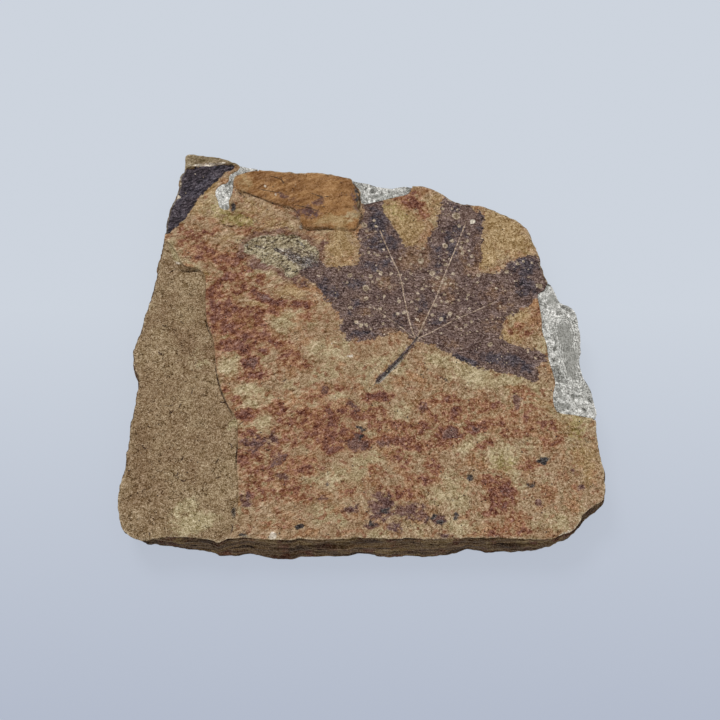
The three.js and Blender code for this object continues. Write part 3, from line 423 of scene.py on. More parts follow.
# Round spots where the film has flaked off the leaf, and one white speck: x, y and radius.
LEAF_SPOTS = [
    (2.7, 37, 0.5), (0.5, 36.5, 0.4), (4.6, 36.4, 0.4), (6.1, 35.9, 0.4), (9.7, 35.2, 0.4),
    (14.6, 34.4, 0.4), (22.2, 36, 0.5), (22.5, 33.4, 1.2), (18.8, 32, 0.5), (22.3, 30, 0.4),
    (31.3, 33.8, 0.5), (32, 32.1, 0.8), (32.5, 36.9, 0.5), (38.3, 36.8, 0.7), (41, 37.7, 0.5),
    (41.8, 35.2, 0.7), (36.2, 35, 0.4), (40.8, 31.6, 0.6), (-4.6, 27, 0.8), (7.1, 27.7, 0.8),
    (11.1, 27.7, 0.6), (14.2, 27.1, 0.7), (6.1, 28.8, 0.4), (3.4, 26.6, 0.7), (0.4, 26.7, 0.4),
    (18.5, 27.7, 0.5), (26.8, 28, 1.1), (28.7, 26.2, 0.8), (31.5, 25.7, 0.8), (34.6, 27.8, 0.6),
    (40.5, 27, 0.5), (44.2, 27, 0.6), (-5.6, 23.9, 0.4), (1.5, 21.4, 1.2), (4.1, 24, 0.5), (6, 25.2, 0.5),
    (7.6, 23.6, 0.6), (10.5, 21.7, 0.6), (16.6, 25.2, 0.4), (15, 23.4, 0.7), (22.8, 21.2, 0.5),
    (24.3, 22.4, 0.4), (27.2, 23, 0.5), (31.5, 23.5, 0.6), (33.5, 23.5, 0.5), (35.8, 23.3, 0.5),
    (26.8, 20.3, 0.4), (31, 18.8, 0.7), (40.2, 18.8, 0.5), (39.5, 17.1, 0.4), (43.9, 24, 0.4),
    (46.8, 20.6, 0.4), (48.8, 24, 0.4), (1.7, 17, 0.6), (5.9, 17.5, 0.5), (6.6, 16.4, 0.5), (8.4, 18, 0.4),
    (14, 15.7, 0.6), (18.5, 15.5, 0.6), (21.2, 16.6, 0.6), (29.9, 15.7, 0.5), (31.8, 15.9, 0.7),
    (34, 15.1, 0.4), (27.5, 14.1, 0.7), (-4.4, 13.3, 0.7), (2.9, 13.3, 0.4), (7, 12.7, 0.5),
    (8.6, 11.3, 0.4), (13.4, 10.2, 0.5), (15.7, 10.8, 0.6), (2.8, 9.7, 0.4), (26.4, 10, 0.7),
    (33, 10.5, 0.7), (29.6, 8.3, 0.6), (36, 9, 0.6), (-2, 7.3, 0.7), (-0.3, 5.7, 0.7), (1.7, 5.8, 0.7),
    (3.4, 4.3, 0.5), (7.9, 6.2, 0.4), (22, 3.4, 0.5), (46.6, 8.1, 0.4), (40.8, 7.1, 0.5), (38.8, 5.7, 0.4),
    (42.8, 3, 0.4), (39.2, 2.2, 0.5), (29.4, 2.5, 0.4), (47.6, -2.4, 0.8), (43.9, -2.4, 0.4), (35, 5, 0.4),
    (48, 14.6, 0.4), (40.3, 13, 0.4), (36.5, 53, 1.5), (34.5, 42.2, 0.8), (31.8, 40.1, 1),
    (38.2, 41.2, 0.6), (40.6, 42, 0.6), (38, 39, 0.6), (35, 56.4, 0.4), (36.8, 55.9, 0.4),
    (31.3, 56.3, 0.4), (31.5, 54, 0.4), (33.5, 53.8, 0.3), (37.5, 48.8, 0.7), (30.9, 46.2, 0.5),
    (41.2, 45, 0.5), (0.9, 48.8, 1.1), (5.5, 48.5, 0.5), (4.6, 51, 0.5), (1.8, 46.4, 0.4), (2.4, 43.6, 0.4),
    (7.3, 41.8, 0.4), (23, 39.2, 0.9), (63.3, 26.2, 0.5), (67, 22.5, 1.1), (61.4, 33, 0.5),
    (59.2, 31.9, 0.6), (57.7, 33, 0.4), (64.5, 32.4, 0.4), (54.8, 28.5, 0.8), (58.8, 24.8, 0.4),
    (55, 24.8, 0.4), (50.8, 21.5, 0.4), (53.3, 21.2, 0.4), (20.5, 12.4, 0.5),
]
WHITE_SPOT = (42.6, 50.4, 1.0)


def lattice(i, j, seed):
    s = np.sin(i * 127.1 + j * 311.7 + (seed + SEED) * 74.7) * 43758.5453
    return 2 * (s - np.floor(s)) - 1


def noise(x, y, seed):
    """Repeatable value noise, from -1 to 1, smooth over a cell of 1."""
    i, j = np.floor(x), np.floor(y)
    u, v = smoothstep(x - i, 0, 1), smoothstep(y - j, 0, 1)
    near = lattice(i, j, seed) * (1 - u) + lattice(i + 1, j, seed) * u
    far = lattice(i, j + 1, seed) * (1 - u) + lattice(i + 1, j + 1, seed) * u
    return near * (1 - v) + far * v


def rough(x, y, size, seed, octaves=3):
    """Layers of noise, each half as large and half as high as the one before."""
    total = 0
    for k in range(octaves):
        total = total + noise(x * 2**k / size + 17.3 * k, y * 2**k / size, seed + k) / 2**k
    return total


def smoothstep(value, low, high):
    t = np.clip((value - low) / (high - low), 0, 1)
    return t * t * (3 - 2 * t)


def curve(points, spacing, closed=True):
    """A centripetal Catmull-Rom curve through the points, as points about `spacing` apart."""
    p = np.asarray(points, float)
    if closed:
        p = np.vstack([p[-1], p, p[:2]])
    else:
        p = np.vstack([2 * p[0] - p[1], p, 2 * p[-1] - p[-2]])
    knots = np.maximum(np.sqrt(np.linalg.norm(np.diff(p, axis=0), axis=1)), 1e-6)
    t = np.linspace(0, 1, 16, endpoint=False)[:, None]
    run = []
    for i in range(1, len(p) - 2):
        a, b, c, d = p[i - 1:i + 3]
        k0, k1, k2 = knots[i - 1:i + 2]
        out = ((b - a) / k0 - (c - a) / (k0 + k1) + (c - b) / k1) * k1
        into = ((c - b) / k1 - (d - b) / (k1 + k2) + (d - c) / k2) * k1
        run.append(b + out * t + (3 * (c - b) - 2 * out - into) * t**2 + (2 * (b - c) + out + into) * t**3)
    run = np.vstack(run + [p[-2]])
    length = np.concatenate([[0], np.cumsum(np.linalg.norm(np.diff(run, axis=0), axis=1))])
    steps = max(2, round(length[-1] / spacing))
    at = np.linspace(0, length[-1], steps + 1)[:steps if closed else steps + 1]
    return np.stack([np.interp(at, length, run[:, k]) for k in range(p.shape[1])], 1)


def outwards(loop):
    """The outward direction at each point of an anticlockwise loop."""
    along = np.roll(loop[:, :2], -1, 0) - np.roll(loop[:, :2], 1, 0)
    out = np.stack([along[:, 1], -along[:, 0]], 1)
    return out / np.linalg.norm(out, axis=1, keepdims=True)


def anticlockwise(loop):
    x, y = loop[:, 0], loop[:, 1]
    area = np.sum(x * np.roll(y, -1) - np.roll(x, -1) * y)
    return loop if area > 0 else loop[::-1]


def outline(points, spacing=1.6, growth=0.0):
    loop = anticlockwise(curve(points, spacing))
    return loop[:, :2] + outwards(loop) * growth


def to_line(p, line, closed=False):
    """For each point, its distance to a line up to REACH, the share of the way along and the side."""
    order = np.argsort(p[:, 1])
    q = p[order]
    best = np.full(len(p), REACH)
    where = np.zeros(len(p))
    side = np.zeros(len(p))
    starts, ends = (line, np.roll(line, -1, 0)) if closed else (line[:-1], line[1:])
    for k, (a, b) in enumerate(zip(starts, ends)):
        low = np.searchsorted(q[:, 1], min(a[1], b[1]) - REACH)
        high = np.searchsorted(q[:, 1], max(a[1], b[1]) + REACH)
        near = np.arange(low, high)
        near = near[np.abs(q[near, 0] - (a[0] + b[0]) / 2) < REACH + abs(a[0] - b[0]) / 2]
        ab = b - a
        ap = q[near] - a
        t = np.clip(ap @ ab / (ab @ ab), 0, 1)
        gap = np.hypot(ap[:, 0] - t * ab[0], ap[:, 1] - t * ab[1])
        closer = gap < best[near]
        won = near[closer]
        best[won] = gap[closer]
        where[won] = (k + t[closer]) / len(starts)
        side[won] = np.sign(ab[0] * ap[closer, 1] - ab[1] * ap[closer, 0])
    back = np.empty(len(p), int)
    back[order] = np.arange(len(p))
    return best[back], where[back], side[back]


def depth_in(p, loop):
    """The distance from each point to a closed loop up to REACH, less than nothing inside it."""
    distance = to_line(p, loop, closed=True)[0]
    order = np.argsort(p[:, 1])
    q = p[order]
    crossings = np.zeros(len(p), int)
    for a, b in zip(loop, np.roll(loop, -1, 0)):
        if a[1] == b[1]:
            continue
        low = np.searchsorted(q[:, 1], min(a[1], b[1]))
        high = np.searchsorted(q[:, 1], max(a[1], b[1]))
        band = q[low:high]
        crossings[low:high] += band[:, 0] < a[0] + (band[:, 1] - a[1]) * (b[0] - a[0]) / (b[1] - a[1])
    inside = np.empty(len(p), bool)
    inside[order] = crossings % 2 == 1
    return np.where(inside, -distance, distance)


def sideways(line):
    """The direction across an open line at each of its points."""
    along = np.gradient(line, axis=0)
    return np.stack([along[:, 1], -along[:, 0]], 1) / np.linalg.norm(along, axis=1, keepdims=True)


STALK_LINE = curve(STALK, 1.0, closed=False)
VEIN_LINES = [curve(vein, 1.5, closed=False) for vein in VEINS]
CRACK_LINES = [curve(line, 1.0, closed=False) for line, _, _ in CRACKS]


def stalk_outline():
    half = sideways(STALK_LINE) * (STALK_WIDTH / 2)
    return anticlockwise(np.vstack([STALK_LINE + half, (STALK_LINE - half)[::-1]]))


def brushed_edge(points):
    """The outer edge of a plaster fill, left uneven by the brush."""
    edge = outline(points)
    s = np.arange(len(edge))
    return edge + outwards(edge) * (0.25 * noise(s / 1.7, 0 * s, 19))[:, None]


LOOPS = {
    "upper": outline(UPPER_BED),
    "flake": outline(FLAKE),
    "corner": outline(CORNER),
    "leaf": outline(LEAF, 1.0),
    "scrap": outline(SCRAP),
    "patch": outline(PATCH),
    "right_chip": outline(RIGHT_CHIP),
    "back_chip": outline(BACK_CHIP),
    "crack_fill": outline(CRACK_FILL, 1.2),
    "right_plaster": brushed_edge(RIGHT_PLASTER),
    "back_plaster": brushed_edge(BACK_PLASTER),
    "stalk": stalk_outline(),
}


def slab_lip():
    """The slab's broken top edge, the way out from it, the side's lean and the length along it."""
    edge = curve(SLAB_EDGE, LIP_SPACING)
    s = np.arange(len(edge)) * LIP_SPACING
    chip = EDGE_CHIP * noise(s / EDGE_WAVE, 0 * s, 11)
    nibble = sum(height * noise(s / wave, 0 * s, seed) for height, wave, seed in NIBBLES)
    out = outwards(edge)
    lip = edge[:, :2] + out * (chip + nibble)[:, None]
    return lip, out, edge[:, 2], s


LIP, LIP_OUT, LEAN, ALONG = slab_lip()
LOOPS["lip"] = LIP


def roll(x, y):
    long = np.sin(x / 31 + 0.6) * np.cos(y / 37 - 0.4)
    short = np.sin((x + 0.7 * y) / 17 + 1.1)
    return ROLL_HEIGHT * (0.7 * long + 0.3 * short)


def underside(x, y):
    to_foot = np.min([np.hypot(x - fx, y - fy) for fx, fy in FEET], axis=0)
    rise = smoothstep(to_foot, FOOT_RADIUS, FOOT_RADIUS + FOOT_FADE)
    return rise * (HOLLOW_DEPTH + HOLLOW_ROUGHNESS * noise(x / HOLLOW_WAVE, y / HOLLOW_WAVE, 3))


class Survey:
    """Distances from a set of points to the outlines, each measured once."""

    def __init__(self, points):
        self.p = np.asarray(points, float)
        self.x, self.y = self.p[:, 0], self.p[:, 1]
        self.known = {}

    def __getitem__(self, name):
        if name not in self.known:
            self.known[name] = depth_in(self.p, LOOPS[name])
        return self.known[name]

    def film(self):
        """Less than nothing where the leaf's film lies."""
        blade = np.minimum(self["leaf"], self["stalk"])
        chips = np.minimum(self["right_chip"], self["back_chip"])
        over = FILM_CLEAR - np.minimum(self["flake"], chips)
        return np.maximum.reduce([blade, self["lip"] + FILM_INSET, over])

    def scrap_film(self):
        """Less than nothing where the scrap's film lies."""
        return np.maximum.reduce([self["scrap"], self["lip"] + FILM_INSET, FILM_CLEAR - self["corner"]])


def relief(x, y, layers):
    """Roughness in layers, each given as its height, size, seed and octaves."""
    return sum(height * rough(x, y, size, seed, octaves) for height, size, seed, octaves in layers)


def terraces(x, y):
    """Low ledges where thin sheets of the bed have split away."""
    sheet = rough(x + 0.4 * y, y * 1.5, 24, 31, 4)
    return sum(SHEET_RISE * smoothstep(sheet, end - 0.02, end + 0.02) for end in SHEET_ENDS) - SHEETS_SINK


def stone_surface(at):
    """The height of the stone's top side, before plaster or film lies in it."""
    x, y = at.x, at.y
    within = lambda name: 1 - smoothstep(at[name], -STEP_WIDTH / 2, STEP_WIDTH / 2)
    upper = within("upper")
    flake = within("flake")
    bed = BED_TOP + roll(x, y) + STEP_FADE * smoothstep(-y, -20, 80)
    bed += relief(x, y, BED_GRAIN)
    layer = LAYER_TOP + roll(x, y) + terraces(x, y) * (1 - flake)
    layer += relief(x, y, LAYER_GRAIN)
    height = bed * (1 - upper) + layer * upper
    # The flake stands lower at its left end.
    height += FLAKE_RISE * (0.45 + 0.55 * smoothstep(x, -42, -16)) * flake
    height += CORNER_RISE * within("corner")
    patch = 1 - smoothstep(at["patch"], -1.5, 0.5)
    height += patch * (PATCH_RELIEF * rough(x, y * 1.8, 3.2, 25) - PATCH_SINK)
    worn = 1 - smoothstep(-at["lip"], 0, WORN_WIDTH)
    height -= worn * (WORN_DEPTH + WORN_CHANGE * noise(x / 2.4, y / 2.4, 26))
    pit_x, pit_y, pit_width, pit_length, pit_depth = PIT
    from_pit = np.hypot((x - pit_x) / pit_width, (y - pit_y) / pit_length)
    height -= pit_depth * (1 - smoothstep(from_pit, 0.4, 1.1))
    for line, (_, width, depth) in zip(CRACK_LINES, CRACKS):
        distance, share, _ = to_line(at.p, line)
        taper = 0.35 + 0.65 * np.sin(np.pi * np.clip(share, 0.02, 0.98))
        height -= depth * taper * (1 - smoothstep(distance, 0.1, width / 2 + 0.25))
    return height


def slab_top(at):
    """The stone's top side with its plaster chips and the prints under the films."""
    films = np.minimum(at.film(), at.scrap_film())
    height = stone_surface(at) - PRINT_DEPTH * smoothstep(-films, 0.0, 0.5)
    for name, floor in CHIP_FLOORS.items():
        cut = smoothstep(-at[name], 0.0, CHIP_WALL)
        height = height * (1 - cut) + floor * cut
    return height


def stain(at, blots):
    """A soft field, 1 in the middle of each blot and 0 past its rim."""
    warp_x = 1.3 * rough(at.x, at.y, 6, 51)
    warp_y = 1.3 * rough(at.x, at.y, 6, 54)
    field = np.zeros(len(at.p))
    for x, y, length, width, angle, strength in blots:
        turn = math.radians(angle)
        # A narrow blot is warped less, so that it stays in one piece.
        reach = min(1.0, width / 2.5)
        dx, dy = at.x + warp_x * reach - x, at.y + warp_y * reach - y
        u = (dx * math.cos(turn) + dy * math.sin(turn)) / length
        v = (dy * math.cos(turn) - dx * math.sin(turn)) / width
        field = np.maximum(field, strength * (1 - smoothstep(np.hypot(u, v / 1.15), 0.25, 1.45)))
    return field


def nearest_spot(at, spots):
    """The distance to the rim of the nearest round spot, less than nothing inside it."""
    rim = np.full(len(at.p), 2.0)
    for x, y, radius in spots:
        rim = np.minimum(rim, np.hypot(at.x - x, at.y - y) - radius)
    return rim


def nearest_vein(at):
    """The distance to the side of the nearest vein, less than nothing inside it."""
    side = np.full(len(at.p), 2.0)
    for line, strength in zip(VEIN_LINES, VEIN_STRENGTH):
        distance, share, _ = to_line(at.p, line)
        side = np.minimum(side, distance - VEIN_WIDTH / 2 * strength * (1.15 - 0.5 * share))
    return side


def nearest_dark_line(at):
    """The distance to the side of the nearest of the cracks, scratches, hair lines and lines of painted
    shadow.
    """
    side = np.full(len(at.p), 2.0)
    for line in MARKS_AND_SHADOW_LINES:
        distance, share, _ = to_line(at.p, curve(line, 0.8, closed=False))
        side = np.minimum(side, distance + 0.05 - 0.3 * np.sin(np.pi * share))
    # Open cracks are drawn dark along their grooves: painted shade.
    for line, (_, width, _) in zip(CRACK_LINES, CRACKS):
        side = np.minimum(side, to_line(at.p, line)[0] - 0.2 * width)
    return side


def fields(at, side=0.0, sown=1.0):
    """What the stone's materials need to know at each point of a mesh."""
    thickly = 0.35 + 0.65 * smoothstep(rough(at.x, at.y, 9, 71, 2), -0.2, 0.8)
    thickly = thickly * (1 - 0.7 * smoothstep(at["upper"], -0.2, 0.2))
    across, along, hand = to_line(at.p, STALK_LINE)
    return {name: stain(at, blots) for name, blots in BLOTS.items()} | {
        "side": side + np.zeros(len(at.p)),
        "sown": thickly * sown,
        "bed": smoothstep(at["upper"], -0.2, 0.2),
        "flake": 1 - smoothstep(at["flake"], -0.3, 0.3),
        "corner": 1 - smoothstep(at["corner"], -0.3, 0.3),
        "leaf": np.minimum(at["leaf"], at["stalk"]),
        "scrap": at["scrap"],
        "patch": at["patch"],
        "rim": -at["lip"],
        "veins": nearest_vein(at),
        "spots": nearest_spot(at, LEAF_SPOTS),
        "white_spot": nearest_spot(at, [WHITE_SPOT]),
        "dark_lines": nearest_dark_line(at),
        "stalk": np.where(across < REACH, across * hand, 2 * REACH),
        "along": along,
    }


def hexagons(low, high, spacing, seed):
    """Points on a jittered hexagonal grid over a rectangle."""
    draw = random.Random(seed)
    points = []
    rows = int((high[1] - low[1]) / (spacing * math.sqrt(0.75))) + 1
    for row in range(rows):
        y = low[1] + row * spacing * math.sqrt(0.75)
        x = low[0] + (spacing / 2 if row % 2 else 0)
        while x < high[0]:
            points.append((x + draw.uniform(-0.15, 0.15) * spacing, y + draw.uniform(-0.15, 0.15) * spacing))
            x += spacing
    return np.array(points)


def clear_of(points, lines, gap):
    """The points that lie no nearer to the lines than about a gap."""
    if not lines:
        return points
    close = []
    for line, closed in lines:
        ring = np.vstack([line, line[:1]]) if closed else line
        for a, b in zip(ring[:-1], ring[1:]):
            steps = max(2, int(np.linalg.norm(b - a) / (gap / 2)))
            close.append(a + (b - a) * np.linspace(0, 1, steps)[:, None])
    close = np.floor(np.vstack(close) / gap).astype(int)
    mine = np.floor(points / gap).astype(int)
    key = lambda cell: cell[:, 0] * 100003 + cell[:, 1]
    return points[~np.isin(key(mine), key(close))]


def triangulate(points, lines, inside_only):
    """Joins points into triangles with an edge along each line, given as (points, closed)."""
    stack, edges, start = [points], [], len(points)
    for line, closed in lines:
        n = len(line)
        stack.append(line)
        edges += [(start + i, start + (i + 1) % n) for i in range(n if closed else n - 1)]
        start += n
    flat = [Vector(p) for p in np.vstack(stack)]
    verts, _, faces, sources, _, _ = delaunay_2d_cdt(flat, edges, [], 1 if inside_only else 0, 1e-4)
    verts = np.array([tuple(v) for v in verts])
    faces = np.array([f for f in faces if len(f) == 3])
    a, b, c = (verts[faces[:, k]] for k in range(3))
    area = (b[:, 0] - a[:, 0]) * (c[:, 1] - a[:, 1]) - (b[:, 1] - a[:, 1]) * (c[:, 0] - a[:, 0])
    faces[area < 0] = faces[area < 0][:, ::-1]
    found = {source: k for k, group in enumerate(sources) for source in group}
    return verts, faces[np.abs(area) > 1e-9], found


def inside_parts(line, closed, margin):
    """The stretches of a line that lie inside the slab's lip by a margin."""
    ring = np.vstack([line, line[:1]]) if closed else line
    ok = depth_in(ring, LIP) < -margin
    if closed and ok.all():
        return [(line, True)]
    parts, run = [], []
    for point, good in zip(ring, ok):
        if good:
            run.append(point)
        elif len(run) > 1:
            parts.append((np.array(run), False))
            run = []
        else:
            run = []
    if len(run) > 1:
        parts.append((np.array(run), False))
    return parts


def make_piece(name, points, faces, material, values):
    """A mesh object at the origin, from points in millimetres, with its values stored on its points."""
    mesh = bpy.data.meshes.new(name)
    mesh.from_pydata((np.asarray(points) * MM).tolist(), [], [list(map(int, f)) for f in faces])
    for key, value in values.items():
        layer = mesh.attributes.new(key, "FLOAT", "POINT")
        layer.data.foreach_set("value", np.asarray(value, np.float32))
    welded = bmesh.new()
    welded.from_mesh(mesh)
    bmesh.ops.remove_doubles(welded, verts=welded.verts, dist=0.002 * MM)
    bmesh.ops.dissolve_degenerate(welded, edges=welded.edges, dist=0.001 * MM)
    bmesh.ops.triangulate(welded, faces=[f for f in welded.faces if len(f.verts) > 3])
    welded.to_mesh(mesh)
    welded.free()
    mesh.polygons.foreach_set("use_smooth", [True] * len(mesh.polygons))
    mesh.set_sharp_from_angle(angle=math.radians(50))
    mesh.materials.append(material)
    made = bpy.data.objects.new(name, mesh)
    bpy.context.scene.collection.objects.link(made)
    return made


def side_rings():
    """The broken sides, sheet by sheet from under the lip to the foot, each sheet with its own face."""
    draw = random.Random(3)
    rings = []
    still = 0 * ALONG
    top, sheet = LAYER_TOP - EDGE_DEPTH, 0
    while top > 0:
        bottom = max(0.0, top - draw.choice(SHEETS))
        if bottom < THINNEST_SHEET:
            bottom = 0.0
        bed = sum((top + bottom) / 2 > ledge + 0.25 for ledge in LEDGES)
        snap = LEDGE_DEPTH * noise(ALONG / LEDGE_WAVE, still + bed * 3.7, 12) * (bed < len(LEDGES))
        face = sum(height * noise(ALONG / wave, still + sheet * shift, seed)
                   for height, wave, shift, seed in SHEET_FACES)
        # The topmost sheet has mostly broken back.
        if sheet == 0:
            face -= 0.45 + 0.4 * noise(ALONG / 15, still, 21)
        for z in (top - 0.06, bottom + 0.02 if bottom else 0.0):
            sag = 0.12 * noise(ALONG / 26.0, still + z / 4.0, 18) + 0.05 * noise(ALONG / 3.0, still + z, 19)
            out = LEAN * (1 - z / LAYER_TOP) + snap + face * (0.35 + 0.65 * smoothstep(z, 0.0, 1.5))
            rings.append((LIP + LIP_OUT * out[:, None], z + sag * smoothstep(z, 0.0, 1.5)))
        top, sheet = bottom, sheet + 1
    return rings


def slab_lines():
    """The lines that the top's triangles follow: steps, chips, the leaf's outline, the scratches and the
    lines of painted shadow.
    """
    lines = []
    for names, shifts, margin in ((("upper", "flake", "corner"), (-STEP_WIDTH / 2, STEP_WIDTH / 2), 0.5),
                                  (CHIP_FLOORS, (0.0, -CHIP_WALL), 0.4)):
        for name in names:
            for shift in shifts:
                lines += inside_parts(LOOPS[name] + outwards(LOOPS[name]) * shift, True, margin)
    lines += inside_parts(LOOPS["leaf"], True, 0.5)
    for line in MARKS_AND_SHADOW_LINES:
        lines += inside_parts(curve(line, 0.6, closed=False), False, 0.5)
    return lines


def filled(ring, grid, lines):
    """Triangles inside a ring over a grid of points, with the place of each of the ring's points."""
    flat, faces, found = triangulate(grid, [(ring, True)] + lines, True)
    return flat, faces, np.array([found[len(grid) + i] for i in range(len(ring))])


def make_slab(material):
    low, high = LIP.min(0), LIP.max(0)
    lines = slab_lines()
    grid = hexagons(low, high, TOP_SPACING, 5)
    grid = clear_of(grid[depth_in(grid, LIP) < -0.45], lines, 0.3)
    flat, faces, rim = filled(LIP, grid, lines)
    top = np.column_stack([flat, slab_top(Survey(flat))])

    rings = side_rings()
    foot = rings[-1][0]
    grid = hexagons(low, high, UNDER_SPACING, 6)
    grid = grid[depth_in(grid, foot) < -1.5]
    flat, under_faces, under_rim = filled(foot, grid, [])
    under = np.column_stack([flat, underside(flat[:, 0], flat[:, 1])])

    # The sides, ring by ring. Where the top edge dips below a ring, the ring joins the edge.
    points, indices, start = [top], [rim], len(top)
    for xy, z in rings[:-1]:
        z = np.clip(z, under[under_rim, 2] + 0.02, None)
        above = z >= top[rim, 2] - 0.3
        ring = np.column_stack([xy, z])
        ring[above] = top[rim][above]
        points.append(ring)
        indices.append(np.arange(start, start + len(ring)))
        start += len(ring)
    points.append(under)
    indices.append(under_rim + start)
    walls = []
    for a, b in zip(indices[:-1], indices[1:]):
        c, d = np.roll(b, -1), np.roll(a, -1)
        walls += np.column_stack([a, b, c]).tolist() + np.column_stack([a, c, d]).tolist()

    points = np.vstack(points)
    side = np.ones(len(points))
    side[:len(top)] = 0
    side[rim] = 0.45
    values = fields(Survey(points[:, :2]), side, np.where(side > 0, 0.0, 1.0))
    faces = faces.tolist() + walls + (under_faces[:, ::-1] + start).tolist()
    return make_piece("slab", points, faces, material, values)


def largest_patch(faces):
    """The largest group of triangles that share edges."""
    owner = {}
    links = [[] for _ in faces]
    for k, face in enumerate(faces):
        for a, b in ((0, 1), (1, 2), (2, 0)):
            edge = tuple(sorted((face[a], face[b])))
            if edge in owner:
                links[k].append(owner[edge])
                links[owner[edge]].append(k)
            else:
                owner[edge] = k
    seen, best = set(), []
    for first in range(len(faces)):
        if first in seen:
            continue
        group, queue = [], [first]
        seen.add(first)
        while queue:
            k = queue.pop()
            group.append(k)
            for other in links[k]:
                if other not in seen:
                    seen.add(other)
                    queue.append(other)
        if len(group) > len(best):
            best = group
    return faces[sorted(best)]


def make_sheet(name, lines, covers, spacing, top, bottom, material, describe):
    """A thin closed body over the ground that `covers` accepts, between two height functions."""
    every = np.vstack([line for line, _ in lines])
    low, high = every.min(0) - 1, every.max(0) + 1
    grid = clear_of(hexagons(low, high, spacing, 7), lines, 0.22)
    flat, faces, _ = triangulate(grid, lines, False)
    faces = largest_patch(faces[covers(Survey(flat[faces].mean(1)))])
    used, faces = np.unique(faces, return_inverse=True)
    faces = faces.reshape(-1, 3)
    flat = flat[used]
    n = len(flat)
    sides = {}
    for face in faces:
        for a, b in ((0, 1), (1, 2), (2, 0)):
            edge = (int(face[a]), int(face[b]))
            if edge[::-1] in sides:
                del sides[edge[::-1]]
            else:
                sides[edge] = True
    walls = [(a, a + n, b + n) for a, b in sides] + [(a, b + n, b) for a, b in sides]
    at = Survey(flat)
    points = np.vstack([np.column_stack([flat, top(at)]), np.column_stack([flat, bottom(at)])])
    faces = faces.tolist() + (faces[:, ::-1] + n).tolist() + walls
    return make_piece(name, points, faces, material, describe(Survey(np.vstack([flat, flat]))))


def film_bottom(at):
    return stone_surface(at) - FILM_UNDER


def leaf_top(at):
    """The film follows the stone and stands a hair above it, with its veins and stalk raised."""
    height = stone_surface(at) + FILM_OVER + 0.04 * rough(at.x, at.y, 1.1, 41, 2)
    for line, strength in zip(VEIN_LINES, VEIN_STRENGTH):
        distance, share, _ = to_line(at.p, line)
        height += VEIN_RISE * strength * (1 - 0.5 * share) * (1 - smoothstep(distance, 0.05, VEIN_SPREAD))
    across = to_line(at.p, STALK_LINE)[0]
    return height + STALK_RISE * np.sqrt(np.clip(1 - (across / (STALK_WIDTH / 2)) ** 2, 0, 1))


def scrap_top(at):
    return stone_surface(at) + FILM_OVER + 0.05 * rough(at.x, at.y, 1.1, 42, 2)


def make_leaf(material):
    loops = [LOOPS["leaf"], LOOPS["stalk"], LIP - LIP_OUT * FILM_INSET]
    loops += [outline(points, growth=FILM_CLEAR) for points in (FLAKE, RIGHT_CHIP, BACK_CHIP)]
    lines = [(loop, True) for loop in loops]
    for vein in VEINS:
        middle = curve(vein, 0.9, closed=False)[1:]
        out = sideways(middle) * 0.4
        lines += [(middle, False), (middle + out, False), (middle - out, False)]
    lines.append((STALK_LINE, False))
    return make_sheet("maple_leaf_film", lines, lambda at: at.film() < 0, FILM_SPACING, leaf_top,
                      film_bottom, material, fields)


def make_scrap(material):
    loops = [LOOPS["scrap"], LIP - LIP_OUT * FILM_INSET, outline(CORNER, growth=FILM_CLEAR)]
    lines = [(loop, True) for loop in loops]
    return make_sheet("leaf_scrap_film", lines, lambda at: at.scrap_film() < 0, FILM_SPACING, scrap_top,
                      film_bottom, material, fields)


def plaster_strokes(at):
    """How high the brush left the plaster, from 0 in a furrow to 1 on a ridge."""
    turn = 4.0 * rough(at.x, at.y, 9, 61, 2)
    return 0.5 + 0.5 * np.sin((at.x * 0.9 + at.y * 0.4 + turn) * 2 * math.pi / STROKE_SPACING)


def plaster_top(at):
    """Plaster brushed into the chip in swirls, a little proud of the stone."""
    x, y = at.x, at.y
    lumps = LUMP_HEIGHT * noise(x / LUMP_SIZE, y / LUMP_SIZE, 7)
    hole_x, hole_y = PLASTER_HOLE
    hole = 1 - smoothstep(np.hypot(x - hole_x, (y - hole_y) * 1.3), 0.3, 1.3)
    brushed = LAYER_TOP + roll(x, y) + lumps + STROKE_HEIGHT * plaster_strokes(at) - 0.1
    return brushed + 0.12 * rough(x, y, 1.6, 63, 2) - PLASTER_HOLE_DEPTH * hole


def plaster_fields(at):
    around = to_line(at.p, curve(LOBE, 1.0, closed=False))[0] + 0.5 * rough(at.x, at.y, 4, 65, 2)
    return {"stroke": plaster_strokes(at), "dust_and_shade": stain(at, DUST_AND_SHADE), "around": around}


def make_plaster(name, chip, outer, material):
    """Plaster in one chip, out to its own brushed edge where it has one, or else to the slab's lip."""
    grown = LOOPS[chip] - outwards(LOOPS[chip]) * PLASTER_CLEAR
    if outer == "lip":
        inside = (LIP > grown.min(0) - 1) & (LIP < grown.max(0) + 1)
        edge = (LIP[inside.all(1)], False)
    else:
        edge = (LOOPS[outer], True)
    covers = lambda at: (at[chip] < -PLASTER_CLEAR) & (at[outer] < 0)
    bottom = lambda at: np.full(len(at.p), CHIP_FLOORS[chip] + PLASTER_LIFT)
    return make_sheet(name, [(grown, True), edge], covers, PLASTER_SPACING, plaster_top, bottom, material,
                      plaster_fields)


